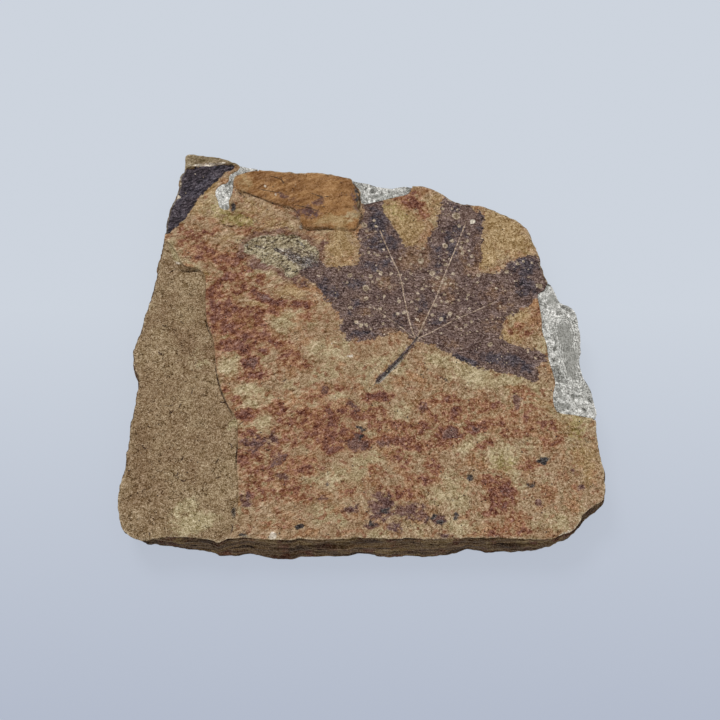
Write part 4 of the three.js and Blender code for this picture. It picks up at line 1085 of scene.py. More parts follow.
def grain_tree():
    """Geometry Nodes that sow flattened grains over a surface, as thickly as its `sown` values say."""
    tree = bpy.data.node_groups.new("sown_grains", "GeometryNodeTree")
    sockets = (("Geometry", "INPUT", "Geometry"), ("Smallest Grain", "INPUT", "Float"),
               ("Largest Grain", "INPUT", "Float"), ("Grains Per Square Metre", "INPUT", "Float"),
               ("Seed", "INPUT", "Int"), ("Material", "INPUT", "Material"),
               ("Geometry", "OUTPUT", "Geometry"))
    for name, direction, kind in sockets:
        tree.interface.new_socket(name=name, in_out=direction, socket_type="NodeSocket" + kind)
    given = add(tree, "NodeGroupInput").outputs
    sown = add(tree, "GeometryNodeInputNamedAttribute", {"Name": "sown"}, data_type="FLOAT").outputs[0]
    thickly = {0: given["Grains Per Square Metre"], 1: sown}
    density = add(tree, "ShaderNodeMath", thickly, operation="MULTIPLY").outputs[0]
    ground = {"Mesh": given["Geometry"], "Density": density, "Seed": given["Seed"]}
    points = add(tree, "GeometryNodeDistributePointsOnFaces", ground)
    grain = add(tree, "GeometryNodeMeshIcoSphere", {"Radius": 1.0, "Subdivisions": 1})
    sizes = {2: given["Smallest Grain"], 3: given["Largest Grain"], "Seed": given["Seed"]}
    size = add(tree, "FunctionNodeRandomValue", sizes, data_type="FLOAT").outputs[1]
    flattened = {0: (1.0, 0.75, 0.5), "Scale": size}
    scale = add(tree, "ShaderNodeVectorMath", flattened, operation="SCALE").outputs[0]
    placed = {"Points": points.outputs["Points"], "Instance": grain.outputs["Mesh"],
              "Rotation": points.outputs["Rotation"], "Scale": scale}
    grains = add(tree, "GeometryNodeInstanceOnPoints", placed).outputs[0]
    any_way = {1: (0.0, 0.0, 6.28), "Seed": given["Seed"]}
    turn = add(tree, "FunctionNodeRandomValue", any_way, data_type="FLOAT_VECTOR").outputs[0]
    turned = add(tree, "GeometryNodeRotateInstances", {"Instances": grains, "Rotation": turn}).outputs[0]
    solid = add(tree, "GeometryNodeRealizeInstances", {0: turned}).outputs[0]
    dressed = {"Geometry": solid, "Material": given["Material"]}
    finished = add(tree, "GeometryNodeSetMaterial", dressed).outputs[0]
    add(tree, "NodeGroupOutput", {"Geometry": finished})
    return tree


def sow(name, host, tree, values):
    """Grains over a host piece, as a plain mesh of their own. The values are the tree's named inputs."""
    carrier = bpy.data.objects.new(name, host.data.copy())
    bpy.context.scene.collection.objects.link(carrier)
    modifier = carrier.modifiers.new("grains", "NODES")
    modifier.node_group = tree
    for socket in tree.interface.items_tree:
        if socket.name in values:
            modifier[socket.identifier] = values[socket.name]
    graph = bpy.context.evaluated_depsgraph_get()
    mesh = bpy.data.meshes.new_from_object(carrier.evaluated_get(graph))
    carrier.modifiers.clear()
    carrier.data = mesh
    mesh.name = name
    return carrier


def linear(hex_colour):
    """An sRGB hex colour as linear red, green, blue and alpha."""
    parts = [int(hex_colour[k:k + 2], 16) / 255 for k in (1, 3, 5)]
    return tuple(c / 12.92 if c <= 0.04045 else ((c + 0.055) / 1.055) ** 2.4 for c in parts) + (1.0,)


def per(size):
    """A texture's scale for features of a size in millimetres."""
    return 1 / (size * MM)


def add(tree, kind, inputs=None, **settings):
    """Adds a node with its settings, and fills its inputs with values or links."""
    node = tree.nodes.new(kind)
    for key, value in settings.items():
        setattr(node, key, value)
    for key, value in (inputs or {}).items():
        if isinstance(value, bpy.types.NodeSocket):
            tree.links.new(value, node.inputs[key])
        else:
            node.inputs[key].default_value = value
    return node


def mottling(tree, place, size, detail, low=0.37, high=0.63):
    """An uneven cover of a real size in millimetres, spread to run from 0 to 1."""
    inputs = {"Vector": place, "Scale": per(size), "Detail": detail, "Roughness": 0.6}
    cover = add(tree, "ShaderNodeTexNoise", inputs).outputs["Fac"]
    return add(tree, "ShaderNodeMapRange", {"Value": cover, "From Min": low, "From Max": high}).outputs[0]


def tint(tree, colour, share, grain, dark, light):
    """Lays a pigment over a colour, or over nothing. The pigment runs from dark to light with the grain."""
    ends = {0: grain, 6: linear(dark), 7: linear(light)}
    pigment = add(tree, "ShaderNodeMix", ends, data_type="RGBA").outputs[2]
    if colour is None:
        return pigment
    return add(tree, "ShaderNodeMix", {0: share, 6: colour, 7: pigment}, data_type="RGBA").outputs[2]


def ragged_stain(tree, name, cover, amount, soft, level=0.5):
    """The share of a stain: a soft field stored on the mesh, broken up by an uneven cover."""
    field = add(tree, "ShaderNodeAttribute", attribute_name=name).outputs["Fac"]
    frayed = {0: cover, 1: amount, 2: field}
    pushed = add(tree, "ShaderNodeMath", frayed, operation="MULTIPLY_ADD").outputs[0]
    middle = level + amount / 2
    limits = {"Value": pushed, "From Min": middle - soft, "From Max": middle + soft}
    passed = add(tree, "ShaderNodeMapRange", limits, interpolation_type="SMOOTHSTEP").outputs[0]
    near = add(tree, "ShaderNodeMapRange", {"Value": field, "From Min": 0.02, "From Max": 0.3}).outputs[0]
    return add(tree, "ShaderNodeMath", {0: passed, 1: near}, operation="MULTIPLY").outputs[0]


def inside_outline(tree, name, cover, wander, soft, grown=0.0):
    """1 inside an outline, stored on the mesh as a distance, whose edge wanders by some millimetres."""
    distance = add(tree, "ShaderNodeAttribute", attribute_name=name).outputs["Fac"]
    moved = {0: cover, 1: 2 * wander, 2: grown - wander}
    shift = add(tree, "ShaderNodeMath", moved, operation="MULTIPLY_ADD").outputs[0]
    depth = add(tree, "ShaderNodeMath", {0: shift, 1: distance}, operation="SUBTRACT").outputs[0]
    limits = {"Value": depth, "From Min": -soft, "From Max": soft}
    return add(tree, "ShaderNodeMapRange", limits, interpolation_type="SMOOTHSTEP").outputs[0]


def unevenness(tree, layers):
    """Noises added up around 0, each given as its place, its size in millimetres and its strength."""
    total = -sum(strength for _, _, strength in layers) / 2
    for place, size, strength in layers:
        inputs = {"Vector": place, "Scale": per(size), "Detail": 1, "Roughness": 0.8}
        cover = add(tree, "ShaderNodeTexNoise", inputs).outputs["Fac"]
        more = {0: cover, 1: strength, 2: total}
        total = add(tree, "ShaderNodeMath", more, operation="MULTIPLY_ADD").outputs[0]
    return total


def lit(tree, colour, lightness):
    """Makes a colour lighter or darker by the same step in every channel, as the eye sees it."""
    seen = add(tree, "ShaderNodeGamma", {"Color": colour, "Gamma": 1 / 2.2}).outputs[0]
    stepped = add(tree, "ShaderNodeVectorMath", {0: seen, 1: lightness}, operation="ADD").outputs[0]
    darkest = {0: stepped, 1: (0.05, 0.05, 0.05)}
    kept = add(tree, "ShaderNodeVectorMath", darkest, operation="MAXIMUM").outputs[0]
    return add(tree, "ShaderNodeGamma", {"Color": kept, "Gamma": 2.2}).outputs[0]


def hair_cracks(tree, place, size, width, cover):
    """Short cracks that curl between the grains: here and there, where a slow noise crosses its middle."""
    inputs = {"Vector": place, "Scale": per(size), "Detail": 2, "Roughness": 0.6}
    slow = add(tree, "ShaderNodeTexNoise", inputs).outputs["Fac"]
    off = add(tree, "ShaderNodeMath", {0: slow, 1: 0.5}, operation="SUBTRACT").outputs[0]
    away = add(tree, "ShaderNodeMath", {0: off}, operation="ABSOLUTE").outputs[0]
    limits = {"Value": away, "From Min": 0.0, "From Max": width, "To Min": 1.0, "To Max": 0.0}
    line = add(tree, "ShaderNodeMapRange", limits, interpolation_type="SMOOTHSTEP").outputs[0]
    return add(tree, "ShaderNodeMath", {0: line, 1: cover}, operation="MULTIPLY").outputs[0]


def flecks(tree, place, size, reach, left_out):
    """Round specks, one to a cell of some millimetres, with a share of the cells left empty."""
    cells = add(tree, "ShaderNodeTexVoronoi", {"Vector": place, "Scale": per(size), "Randomness": 1.0})
    lot = add(tree, "ShaderNodeSeparateColor", {0: cells.outputs["Color"]}).outputs[0]
    limits = {"Value": lot, "From Min": left_out, "From Max": 1.0, "To Min": 0.0, "To Max": reach}
    radius = add(tree, "ShaderNodeMapRange", limits).outputs[0]
    inward = {0: radius, 1: cells.outputs["Distance"]}
    depth = add(tree, "ShaderNodeMath", inward, operation="SUBTRACT").outputs[0]
    edge = {"Value": depth, "From Min": 0.0, "From Max": 0.07}
    return add(tree, "ShaderNodeMapRange", edge, interpolation_type="SMOOTHSTEP").outputs[0]


# The stains in the order they lie: the field's name, how broken up, how soft, the level and two hues.
STAINS = (
    ("ochre", 0.7, 0.40, 0.45, "#997d55", "#ad926a"),
    ("pale", 0.9, 0.42, 0.45, "#a6936f", "#bcab88"),
    ("moss", 1.0, 0.45, 0.50, "#857444", "#9d8c58"),
    ("iron", 1.0, 0.42, 0.30, "#916a4c", "#a27a58"),
    ("iron", 1.0, 0.26, 0.50, "#7c4e3b", "#926346"),
    ("iron", 1.0, 0.34, 0.80, "#69443b", "#7c5241"),
    ("plum", 1.0, 0.36, 0.45, "#5e4440", "#745549"),
    ("coal_and_shade", 0.9, 0.30, 0.45, "#35312f", "#4d4542"),
)


def sand_covers(tree):
    """What the split surface's colours share: uneven covers, ways to place them, and stored fields."""
    place = add(tree, "ShaderNodeTexCoord").outputs["Object"]
    covers = {"place": place}
    for name in ("bed", "flake", "corner", "stalk", "along", "rim"):
        covers[name] = add(tree, "ShaderNodeAttribute", attribute_name=name).outputs["Fac"]

    # The splitting left streaks in the back left, and the leaf lies on finer ones.
    for name, degrees, stretch in (("streaked", 24, (1.9, 0.8, 1)), ("laid", -8, (1.6, 0.85, 1))):
        turned = {"Vector": place, "Rotation": (0, 0, math.radians(degrees)), "Scale": stretch}
        covers[name] = add(tree, "ShaderNodeMapping", turned, vector_type="TEXTURE").outputs[0]
    close = {"Vector": place, "Scale": per(1.3), "Detail": 2}
    wobble = add(tree, "ShaderNodeTexNoise", close).outputs["Color"]
    moved = {0: wobble, 1: (1.1 * MM, 1.1 * MM, 0), 2: place}
    covers["warped"] = add(tree, "ShaderNodeVectorMath", moved, operation="MULTIPLY_ADD").outputs[0]

    covers["clots"] = mottling(tree, place, 1.7, 1, 0.36, 0.64)
    covers["blotches"] = mottling(tree, place, 3.6, 3, 0.38, 0.62)
    both = {0: 0.5, 2: covers["blotches"], 3: covers["clots"]}
    covers["broken"] = add(tree, "ShaderNodeMix", both, data_type="FLOAT").outputs[0]
    covers["turns"] = mottling(tree, place, 5.5, 2, 0.36, 0.64)
    covers["drift"] = mottling(tree, place, 14, 3, 0.36, 0.64)
    return SimpleNamespace(**covers)


def stained_sand(tree, sand):
    """The split face: tan sand, greyer, creamier, more orange and rustier by turns, with its stains."""
    colour = tint(tree, None, 1.0, sand.drift, "#987c5e", "#a68c6e")
    for size, detail, low, high, grain, dark, light in (
        (8.3, 3, 0.50, 0.64, sand.clots, "#9a8766", "#b09d7a"),
        (6.1, 3, 0.52, 0.66, sand.turns, "#977150", "#a8805c"),
        (2.4, 1, 0.54, 0.68, sand.blotches, "#865f45", "#9b7455"),
    ):
        colour = tint(tree, colour, mottling(tree, sand.place, size, detail, low, high), grain, dark, light)
    smears = mottling(tree, sand.streaked, 5.2, 3, 0.38, 0.62)
    colour = tint(tree, colour, sand.flake, smears, "#815b38", "#a47b4f")
    for name, amount, soft, level, dark, light in STAINS:
        share = ragged_stain(tree, name, sand.broken, amount, soft, level)
        colour = tint(tree, colour, share, sand.turns, dark, light)

    # Tan grains show through the rust.
    rusty = ragged_stain(tree, "iron", sand.broken, 0.4, 0.3)
    specks = flecks(tree, sand.warped, 2.1, 0.32, 0.42)
    caught = add(tree, "ShaderNodeMath", {0: specks, 1: rusty}, operation="MULTIPLY").outputs[0]
    colour = tint(tree, colour, caught, sand.turns, "#9c7551", "#b8946b")
    return tint(tree, colour, sand.corner, sand.blotches, "#7c6b52", "#948467")


def bare_patch(tree, sand, colour):
    """Cream crumbs in a dark net, greyer along the parting, in a soft brown ring. Also gives their share."""
    halo = inside_outline(tree, "patch", sand.broken, 1.2, 1.3, 2.3)
    halo = add(tree, "ShaderNodeMath", {0: halo, 1: 0.75}, operation="MULTIPLY").outputs[0]
    colour = tint(tree, colour, halo, sand.turns, "#6d4f44", "#80614f")
    bare = inside_outline(tree, "patch", sand.broken, 0.8, 0.5)
    colour = tint(tree, colour, bare, sand.blotches, "#98896c", "#b5a88a")
    parted = ragged_stain(tree, "parting", sand.broken, 0.7, 0.3)
    colour = tint(tree, colour, parted, sand.clots, "#6a6462", "#aaa39a")
    crumbs = {"Vector": sand.warped, "Scale": per(1.25)}
    gap = add(tree, "ShaderNodeTexVoronoi", crumbs, feature="DISTANCE_TO_EDGE").outputs["Distance"]
    limits = {"Value": gap, "From Min": 0.05, "From Max": 0.22, "To Min": 1.0, "To Max": 0.0}
    net = add(tree, "ShaderNodeMapRange", limits, interpolation_type="SMOOTHSTEP").outputs[0]
    thicker = {0: parted, 1: 0.45, 2: sand.clots}
    thick = add(tree, "ShaderNodeMath", thicker, operation="MULTIPLY_ADD").outputs[0]
    for part in (thick, bare):
        net = add(tree, "ShaderNodeMath", {0: net, 1: part}, operation="MULTIPLY").outputs[0]
    return tint(tree, colour, net, sand.turns, "#3c322a", "#5f4f3c"), bare


def lower_bed(tree, sand, colour):
    """The lower bed is finer and olive brown, paler where it is worn."""
    colour = tint(tree, colour, sand.bed, sand.drift, "#886f53", "#998364")
    for name, level, dark, light in (("pale", 0.4, "#a4946f", "#b6a683"),
                                     ("coal_and_shade", 0.5, "#3d3631", "#524941")):
        share = ragged_stain(tree, name, sand.broken, 0.8, 0.4, level)
        on_bed = add(tree, "ShaderNodeMath", {0: share, 1: sand.bed}, operation="MULTIPLY").outputs[0]
        colour = tint(tree, colour, on_bed, sand.clots, dark, light)
    return colour


def leaf_film(tree, sand):
    """Brown over the sand, blue-black where it is thick, flaked off in round spots, with pale veins edged by
    painted shadow.
    """
    film = tint(tree, None, 1.0, sand.turns, "#5e4943", "#705a50")
    for name, dark, light in (("leaf_warm", "#705443", "#83674f"), ("leaf_dark", "#41393f", "#524547")):
        film = tint(tree, film, ragged_stain(tree, name, sand.broken, 0.9, 0.4), sand.turns, dark, light)
    for size, reach, left_out in ((1.3, 0.26, 0.45), (3.1, 0.22, 0.35)):
        specks = flecks(tree, sand.warped, size, reach, left_out)
        film = tint(tree, film, specks, sand.clots, "#9c8975", "#c1af99")
    for name, wander, soft, grown, grain, dark, light in (
        ("spots", 0.2, 0.2, 0.05, sand.blotches, "#98866f", "#b3a28c"),
        ("spots", 0.2, 0.3, -0.6, sand.blotches, "#7d6b56", "#8d7c64"),
        # A dark band of painted shadow along each raised vein, under the pale vein itself.
        ("veins", 0.25, 0.3, 0.05, sand.clots, "#3d3230", "#5f4d44"),
        ("veins", 0.1, 0.13, 0.02, sand.blotches, "#9c8571", "#bea893"),
        ("white_spot", 0.2, 0.15, 0.0, sand.blotches, "#d6cbb8", "#e6dccb"),
    ):
        share = inside_outline(tree, name, sand.clots, wander, soft, grown)
        film = tint(tree, film, share, grain, dark, light)
    return film


def scrap_film(tree, sand):
    """Nearly black, with pale specks."""
    film = tint(tree, None, 1.0, sand.turns, "#332d36", "#40373d")
    return tint(tree, film, flecks(tree, sand.warped, 1.7, 0.2, 0.55), sand.clots, "#9b8a7a", "#cdbfae")


def stalk_line(tree, sand, colour):
    """A black line, thin and brown at the leaf, with a pale strip along the lower half of one side."""
    limits = {"Value": sand.along, "From Min": 0.15, "From Max": 0.55}
    swell = add(tree, "ShaderNodeMapRange", limits).outputs[0]
    for middle, half, strength, dark, light in ((0.9, 0.35, swell, "#7d7a74", "#9a9384"),
                                                (0.0, 0.5, 0.9, "#2b272c", "#4a4140")):
        off = add(tree, "ShaderNodeMath", {0: sand.stalk, 1: middle}, operation="SUBTRACT").outputs[0]
        away = add(tree, "ShaderNodeMath", {0: off}, operation="ABSOLUTE").outputs[0]
        wide = half - 0.12
        for cover, change in ((sand.clots, -0.35), (swell, 0.28)):
            widened = {0: cover, 1: change, 2: wide}
            wide = add(tree, "ShaderNodeMath", widened, operation="MULTIPLY_ADD").outputs[0]
        depth = add(tree, "ShaderNodeMath", {0: wide, 1: away}, operation="SUBTRACT").outputs[0]
        limits = {"Value": depth, "From Min": -0.2, "From Max": 0.2, "To Max": strength}
        share = add(tree, "ShaderNodeMapRange", limits).outputs[0]
        colour = tint(tree, colour, share, sand.blotches, dark, light)
    return colour


def pale_edges_and_dark_lines(tree, sand, colour):
    """Edges are paler, partly as worn stone and partly as painted highlight. Cracks and scratches are dark,
    with painted shade in the open cracks and painted shadow along steps.
    """
    # Painted highlight with wear: the stone is lightened within about a millimetre of the lip.
    limits = {"Value": sand.rim, "From Min": 0.9, "From Max": 0.1, "To Max": 0.75}
    close = add(tree, "ShaderNodeMapRange", limits).outputs[0]
    worn_and_highlit = add(tree, "ShaderNodeMath", {0: close, 1: sand.broken}, operation="MULTIPLY").outputs[0]
    colour = tint(tree, colour, worn_and_highlit, sand.clots, "#9f8e73", "#c4b597")
    # Dark lines: cracks and scratches, painted shade in the open cracks and painted shadow along steps.
    dark_lines = inside_outline(tree, "dark_lines", sand.clots, 0.12, 0.14)
    return tint(tree, colour, dark_lines, sand.clots, "#3a2b20", "#574230")


def sand_grain(tree, sand, bare, blade):
    """Lighter and darker sand grains, dark cracks and pores and bright grains, as a height around 0."""
    place = sand.place
    across = add(tree, "ShaderNodeSeparateXYZ", {0: place}).outputs["X"]
    limits = {"Value": across, "From Min": 20 * MM, "From Max": -30 * MM, "To Max": 0.8}
    left = add(tree, "ShaderNodeMapRange", limits).outputs[0]
    grain = unevenness(tree, [(place, GRAIN, 0.72), (place, 1.0, 0.6), (place, 2.8, 0.24)])
    for share, layers in (
        (left, [(place, GRAIN, 0.65), (sand.streaked, 0.9, 0.75), (sand.streaked, 2.6, 0.34)]),
        (blade, [(place, GRAIN, 0.88), (sand.laid, 0.8, 0.68), (sand.laid, 2.4, 0.22)]),
        (sand.bed, [(place, GRAIN, 0.88), (place, 1.1, 0.45), (place, 7.0, 0.08)]),
    ):
        ends = {0: share, 2: grain, 3: unevenness(tree, layers)}
        grain = add(tree, "ShaderNodeMix", ends, data_type="FLOAT").outputs[0]

    # The grain is stronger in the bare patch and weaker on the flake.
    vigour = 1.0
    for share, change in ((bare, 0.25), (sand.flake, -0.45)):
        changed = {0: share, 1: change, 2: vigour}
        vigour = add(tree, "ShaderNodeMath", changed, operation="MULTIPLY_ADD").outputs[0]
    grain = add(tree, "ShaderNodeMath", {0: grain, 1: vigour}, operation="MULTIPLY").outputs[0]

    # Hair cracks come and go, longer ones curl over the lower bed, and pores lie in the pitted places.
    gone = mottling(tree, place, 3.1, 2, 0.46, 0.58)
    curled = hair_cracks(tree, place, 3.3, 0.022, gone)
    curls = add(tree, "ShaderNodeMath", {0: curled, 1: sand.bed}, operation="MULTIPLY").outputs[0]
    pitted = ragged_stain(tree, "pores", sand.blotches, 0.6, 0.4)
    pores = {0: flecks(tree, sand.warped, 1.2, 0.26, 0.55), 1: pitted}
    for part, step in (
        (hair_cracks(tree, place, 2.1, 0.016, gone), -0.22),
        (curls, -0.22),
        (flecks(tree, sand.warped, 2.3, 0.14, 0.5), -0.2),
        (add(tree, "ShaderNodeMath", pores, operation="MULTIPLY").outputs[0], -0.3),
        (flecks(tree, sand.warped, 1.9, 0.2, 0.6), 0.16),
    ):
        stepped = {0: part, 1: step, 2: grain}
        grain = add(tree, "ShaderNodeMath", stepped, operation="MULTIPLY_ADD").outputs[0]
    return grain


def bedding_group():
    """Colour and fine relief of the split surface, shared by the stone and by the films that lie in it."""
    tree = bpy.data.node_groups.new("bedding_plane", "ShaderNodeTree")
    tree.interface.new_socket(name="Colour", in_out="OUTPUT", socket_type="NodeSocketColor")
    tree.interface.new_socket(name="Relief", in_out="OUTPUT", socket_type="NodeSocketFloat")
    sand = sand_covers(tree)
    colour, bare = bare_patch(tree, sand, stained_sand(tree, sand))
    colour = lower_bed(tree, sand, colour)

    # The films cover the sand, and the leaf's is nearly gone from the bare patch.
    blade = inside_outline(tree, "leaf", sand.broken, 1.2, 0.35)
    left = add(tree, "ShaderNodeMath", {0: bare, 1: -0.75, 2: 1.0}, operation="MULTIPLY_ADD").outputs[0]
    kept = add(tree, "ShaderNodeMath", {0: blade, 1: left}, operation="MULTIPLY").outputs[0]
    scrap = inside_outline(tree, "scrap", sand.broken, 0.5, 0.25, 0.5)
    for share, film in ((kept, leaf_film(tree, sand)), (scrap, scrap_film(tree, sand))):
        colour = add(tree, "ShaderNodeMix", {0: share, 6: colour, 7: film}, data_type="RGBA").outputs[2]
    crust = ragged_stain(tree, "white", sand.broken, 0.7, 0.2)
    colour = tint(tree, colour, crust, sand.turns, "#c0b19f", "#dcd1c0")
    colour = pale_edges_and_dark_lines(tree, sand, stalk_line(tree, sand, colour))
    grain = sand_grain(tree, sand, bare, blade)
    add(tree, "NodeGroupOutput", {"Colour": lit(tree, colour, grain), "Relief": grain})
    return tree


def new_material(name):
    """An empty material with nodes, and its tree."""
    material = bpy.data.materials.new(name)
    material.use_nodes = True
    material.node_tree.nodes.clear()
    return material, material.node_tree


def dull_surface(tree, colour, relief, depth, roughness, gloss):
    """A mineral surface with little gloss, and with a fine relief of some millimetres' depth."""
    bump = add(tree, "ShaderNodeBump", {"Height": relief, "Distance": depth * MM, "Strength": 1.0})
    shader = add(tree, "ShaderNodeBsdfPrincipled", {"Base Color": colour, "Roughness": roughness,
                                                    "Specular IOR Level": gloss, "Normal": bump.outputs[0]})
    add(tree, "ShaderNodeOutputMaterial", {"Surface": shader.outputs[0]})


def sandstone(group):
    """Sandstone, split along its bedding: matte sand grains, browner where the sides are broken."""
    material, tree = new_material("iron_stained_sandstone")
    place = add(tree, "ShaderNodeTexCoord").outputs["Object"]
    plane = add(tree, "ShaderNodeGroup", node_tree=group)

    # Sheets of half a millimetre to a millimetre show as lines along the broken sides.
    thin = add(tree, "ShaderNodeMapping", {"Vector": place, "Scale": (1, 1, 16)}).outputs[0]
    sheets = mottling(tree, thin, 15, 6, 0.38, 0.62)
    broken = tint(tree, None, 1.0, sheets, "#4c3c30", "#83694a")
    broken = tint(tree, broken, mottling(tree, place, 8, 3, 0.5, 0.60), sheets, "#54402c", "#9b825b")
    broken = tint(tree, broken, mottling(tree, place, 5, 3, 0.54, 0.66), sheets, "#4b2f22", "#7b5540")
    crumbs = unevenness(tree, [(place, GRAIN, 0.8), (thin, 5, 0.2)])
    here = mottling(tree, place, 3.4, 2, 0.42, 0.56)
    for part in (hair_cracks(tree, thin, 11, 0.03, here), flecks(tree, place, 1.5, 0.2, 0.5)):
        stepped = {0: part, 1: -0.17, 2: crumbs}
        crumbs = add(tree, "ShaderNodeMath", stepped, operation="MULTIPLY_ADD").outputs[0]
    broken = lit(tree, broken, crumbs)
    side = add(tree, "ShaderNodeAttribute", attribute_name="side").outputs["Fac"]
    share = add(tree, "ShaderNodeMapRange", {"Value": side, "From Min": 0.3, "From Max": 0.8}).outputs[0]
    mixed = {0: share, 6: plane.outputs["Colour"], 7: broken}
    colour = add(tree, "ShaderNodeMix", mixed, data_type="RGBA").outputs[2]
    dull_surface(tree, colour, plane.outputs["Relief"], depth=0.5, roughness=0.92, gloss=0.25)
    return material


def carbon_film(group):
    """The leaf's carbon film: a thin brown-black skin on the sand, a little smoother than the stone."""
    material, tree = new_material("carbon_film")
    plane = add(tree, "ShaderNodeGroup", node_tree=group)
    colour, relief = plane.outputs["Colour"], plane.outputs["Relief"]
    dull_surface(tree, colour, relief, depth=0.4, roughness=0.82, gloss=0.3)
    return material


def brushed_plaster():
    """Repair plaster, brushed on in swirls: off-white ridges, greyer in the furrows between them, greyed by
    stone dust in places and by painted shade at the crack's fill.
    """
    material, tree = new_material("brushed_plaster")
    place = add(tree, "ShaderNodeTexCoord").outputs["Object"]
    cloud = mottling(tree, place, 6, 3, 0.52, 0.64)
    dabs = mottling(tree, place, 3, 3, 0.40, 0.62)
    stroke = add(tree, "ShaderNodeAttribute", attribute_name="stroke").outputs["Fac"]
    limits = {"Value": stroke, "From Min": 0.34, "From Max": 0.05}
    furrow = add(tree, "ShaderNodeMapRange", limits, interpolation_type="SMOOTHSTEP").outputs[0]
    greyer_in_furrows = add(tree, "ShaderNodeMath", {0: furrow, 1: dabs}, operation="MULTIPLY").outputs[0]
    dust_and_shade_share = ragged_stain(tree, "dust_and_shade", dabs, 0.5, 0.2)
    colour = tint(tree, None, 1.0, dabs, "#b8b7b1", "#d9d7d1")
    colour = tint(tree, colour, cloud, dabs, "#9c9b95", "#acaba5")
    # Greyer in the furrows between the brushed ridges.
    colour = tint(tree, colour, greyer_in_furrows, cloud, "#84837d", "#97968f")
    # Greyed where stone dust lies, and painted shade at the crack's fill.
    colour = tint(tree, colour, dust_and_shade_share, cloud, "#93928c", "#a09f99")

    # The bristles left fine lines about a millimetre apart round the lobe, which was wiped smooth itself.
    around = add(tree, "ShaderNodeAttribute", attribute_name="around").outputs["Fac"]
    bent = add(tree, "ShaderNodeMath", {0: dabs, 1: 0.5, 2: around}, operation="MULTIPLY_ADD").outputs[0]
    turn = add(tree, "ShaderNodeMath", {0: bent, 1: 2 * math.pi / 0.95}, operation="MULTIPLY").outputs[0]
    combed = add(tree, "ShaderNodeMath", {0: turn}, operation="SINE").outputs[0]
    grit = unevenness(tree, [(place, GRAIN, 1.2), (place, 1.1, 0.55)])
    grit = add(tree, "ShaderNodeMath", {0: combed, 1: 0.1, 2: grit}, operation="MULTIPLY_ADD").outputs[0]
    calm = add(tree, "ShaderNodeMath", {0: dust_and_shade_share, 1: -0.55, 2: 1.0}, operation="MULTIPLY_ADD").outputs[0]
    grit = add(tree, "ShaderNodeMath", {0: grit, 1: calm}, operation="MULTIPLY").outputs[0]
    for part, step in ((hair_cracks(tree, place, 2.6, 0.02, dabs), -0.16),
                       (flecks(tree, place, 2.0, 0.16, 0.6), -0.25)):
        grit = add(tree, "ShaderNodeMath", {0: part, 1: step, 2: grit}, operation="MULTIPLY_ADD").outputs[0]
    dull_surface(tree, lit(tree, colour, grit), grit, depth=0.5, roughness=0.85, gloss=0.3)
    return material


def loose_grain(name, dark, light, roughness):
    """Single grains of sand: quartz, pale and a little glassy, or iron-cemented grit, dark and dull."""
    material, tree = new_material(name)
    place = add(tree, "ShaderNodeTexCoord").outputs["Object"]
    colour = tint(tree, None, 1.0, mottling(tree, place, 1.3, 1, 0.35, 0.65), dark, light)
    shader = add(tree, "ShaderNodeBsdfPrincipled", {"Base Color": colour, "Roughness": roughness})
    add(tree, "ShaderNodeOutputMaterial", {"Surface": shader.outputs[0]})
    return material


def set_stage():
    """A pale floor that glows as painted light and is darker towards the front as painted light falloff, a
    soft key light from the back left and an even sky.
    """
    bpy.ops.mesh.primitive_plane_add(size=4.0, location=(0, 0, 0))
    floor = bpy.context.object
    floor.name = "floor"
    material, tree = new_material("glowing_floor")
    place = add(tree, "ShaderNodeTexCoord").outputs["Object"]
    depth = add(tree, "ShaderNodeSeparateXYZ", {0: place}).outputs["Y"]
    # Painted light falloff: the floor's colour darkens towards the front.
    share = add(tree, "ShaderNodeMapRange", {"Value": depth, "From Min": -0.16, "From Max": 0.02}).outputs[0]
    ends = {0: share, 6: linear("#b0b8c9"), 7: linear("#cdd4de")}
    colour = add(tree, "ShaderNodeMix", ends, data_type="RGBA").outputs[2]
    paper = add(tree, "ShaderNodeBsdfDiffuse", {"Color": colour})
    # Painted light: the floor glows, which also thins the shadows on it.
    painted_glow = add(tree, "ShaderNodeEmission", {"Color": colour, "Strength": 1.0})
    shader = add(tree, "ShaderNodeMixShader", {0: 0.86, 1: paper.outputs[0], 2: painted_glow.outputs[0]})
    add(tree, "ShaderNodeOutputMaterial", {"Surface": shader.outputs[0]})
    floor.data.materials.append(material)

    sky = bpy.data.worlds.new("soft_sky")
    sky.use_nodes = True
    background = sky.node_tree.nodes["Background"]
    background.inputs["Color"].default_value = (1, 1, 1, 1)
    background.inputs["Strength"].default_value = 0.62
    bpy.context.scene.world = sky

    sun = bpy.data.lights.new("key", "SUN")
    sun.energy = 1.45
    sun.angle = math.radians(24)
    lamp = bpy.data.objects.new("key", sun)
    lamp.rotation_euler = Vector((0.34, -0.5, -0.8)).to_track_quat("-Z", "Y").to_euler()
    bpy.context.scene.collection.objects.link(lamp)
    bpy.context.scene.view_settings.view_transform = "Standard"


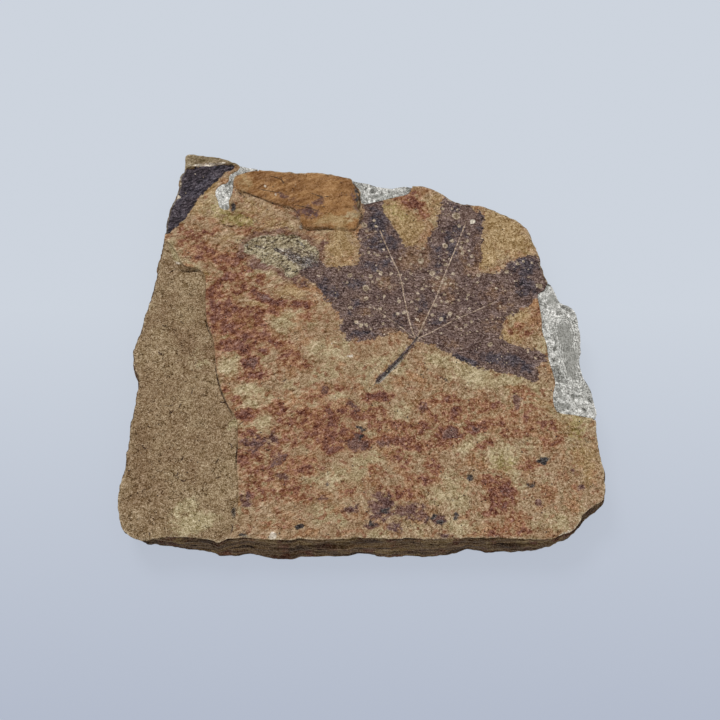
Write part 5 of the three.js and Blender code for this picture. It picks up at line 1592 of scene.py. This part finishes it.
def set_camera():
    """The photograph's view: straight from the front, 64 degrees above the table."""
    target = Vector((-0.7, -8.6, 14.0)) * MM
    distance, frame_width, sensor = 600, 266, 36
    elevation = math.radians(64)
    lens = bpy.data.cameras.new("camera")
    lens.sensor_width = sensor
    lens.lens = sensor * distance / frame_width
    camera = bpy.data.objects.new("camera", lens)
    back = Vector((0, -math.cos(elevation), math.sin(elevation)))
    camera.location = target + back * distance * MM
    camera.rotation_euler = (-back).to_track_quat("-Z", "Y").to_euler()
    bpy.context.scene.collection.objects.link(camera)
    bpy.context.scene.camera = camera


set_camera()
set_stage()
plane = bedding_group()
stone = sandstone(plane)
film = carbon_film(plane)
plaster = brushed_plaster()

slab = make_slab(stone)
leaf = make_leaf(film)
quartz = loose_grain("quartz_sand", "#9c866a", "#cdb999", 0.5)
grit = loose_grain("iron_grit", "#2a201b", "#5d4838", 0.8)
grains = grain_tree()

# Loose grains, larger and fewer than real ones, so that they show: name, host, smallest and largest
# radius, how many to a square metre, seed and material.
LOOSE_GRAINS = (
    ("quartz_grains", slab, 0.15, 0.34, 26000.0, 4, quartz),
    ("grit_grains", slab, 0.16, 0.4, 40000.0, 9, grit),
    ("leaf_quartz_grains", leaf, 0.15, 0.36, 30000.0, 2, quartz),
)
loose = [
    sow(name, host, grains, {"Smallest Grain": smallest * MM, "Largest Grain": largest * MM, "Seed": seed,
                             "Grains Per Square Metre": thickly, "Material": material})
    for name, host, smallest, largest, thickly, seed, material in LOOSE_GRAINS
]
for piece in loose:
    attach(piece, "root")

PIECES = [
    (slab, "stone_slab", "stone"),
    (leaf, "maple_leaf", "leaf_film"),
    (make_scrap(film), "leaf_scrap", "leaf_film"),
]
for side, chip, outer in (("right", "right_chip", "right_plaster"), ("back", "back_chip", "back_plaster"),
                          ("crack", "crack_fill", "lip")):
    fill = make_plaster(side + "_plaster", chip, outer, plaster)
    PIECES.append((fill, "plaster_" + side, "plaster"))
for piece, node, slot in PIECES:
    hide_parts(node)
    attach(piece, "root")
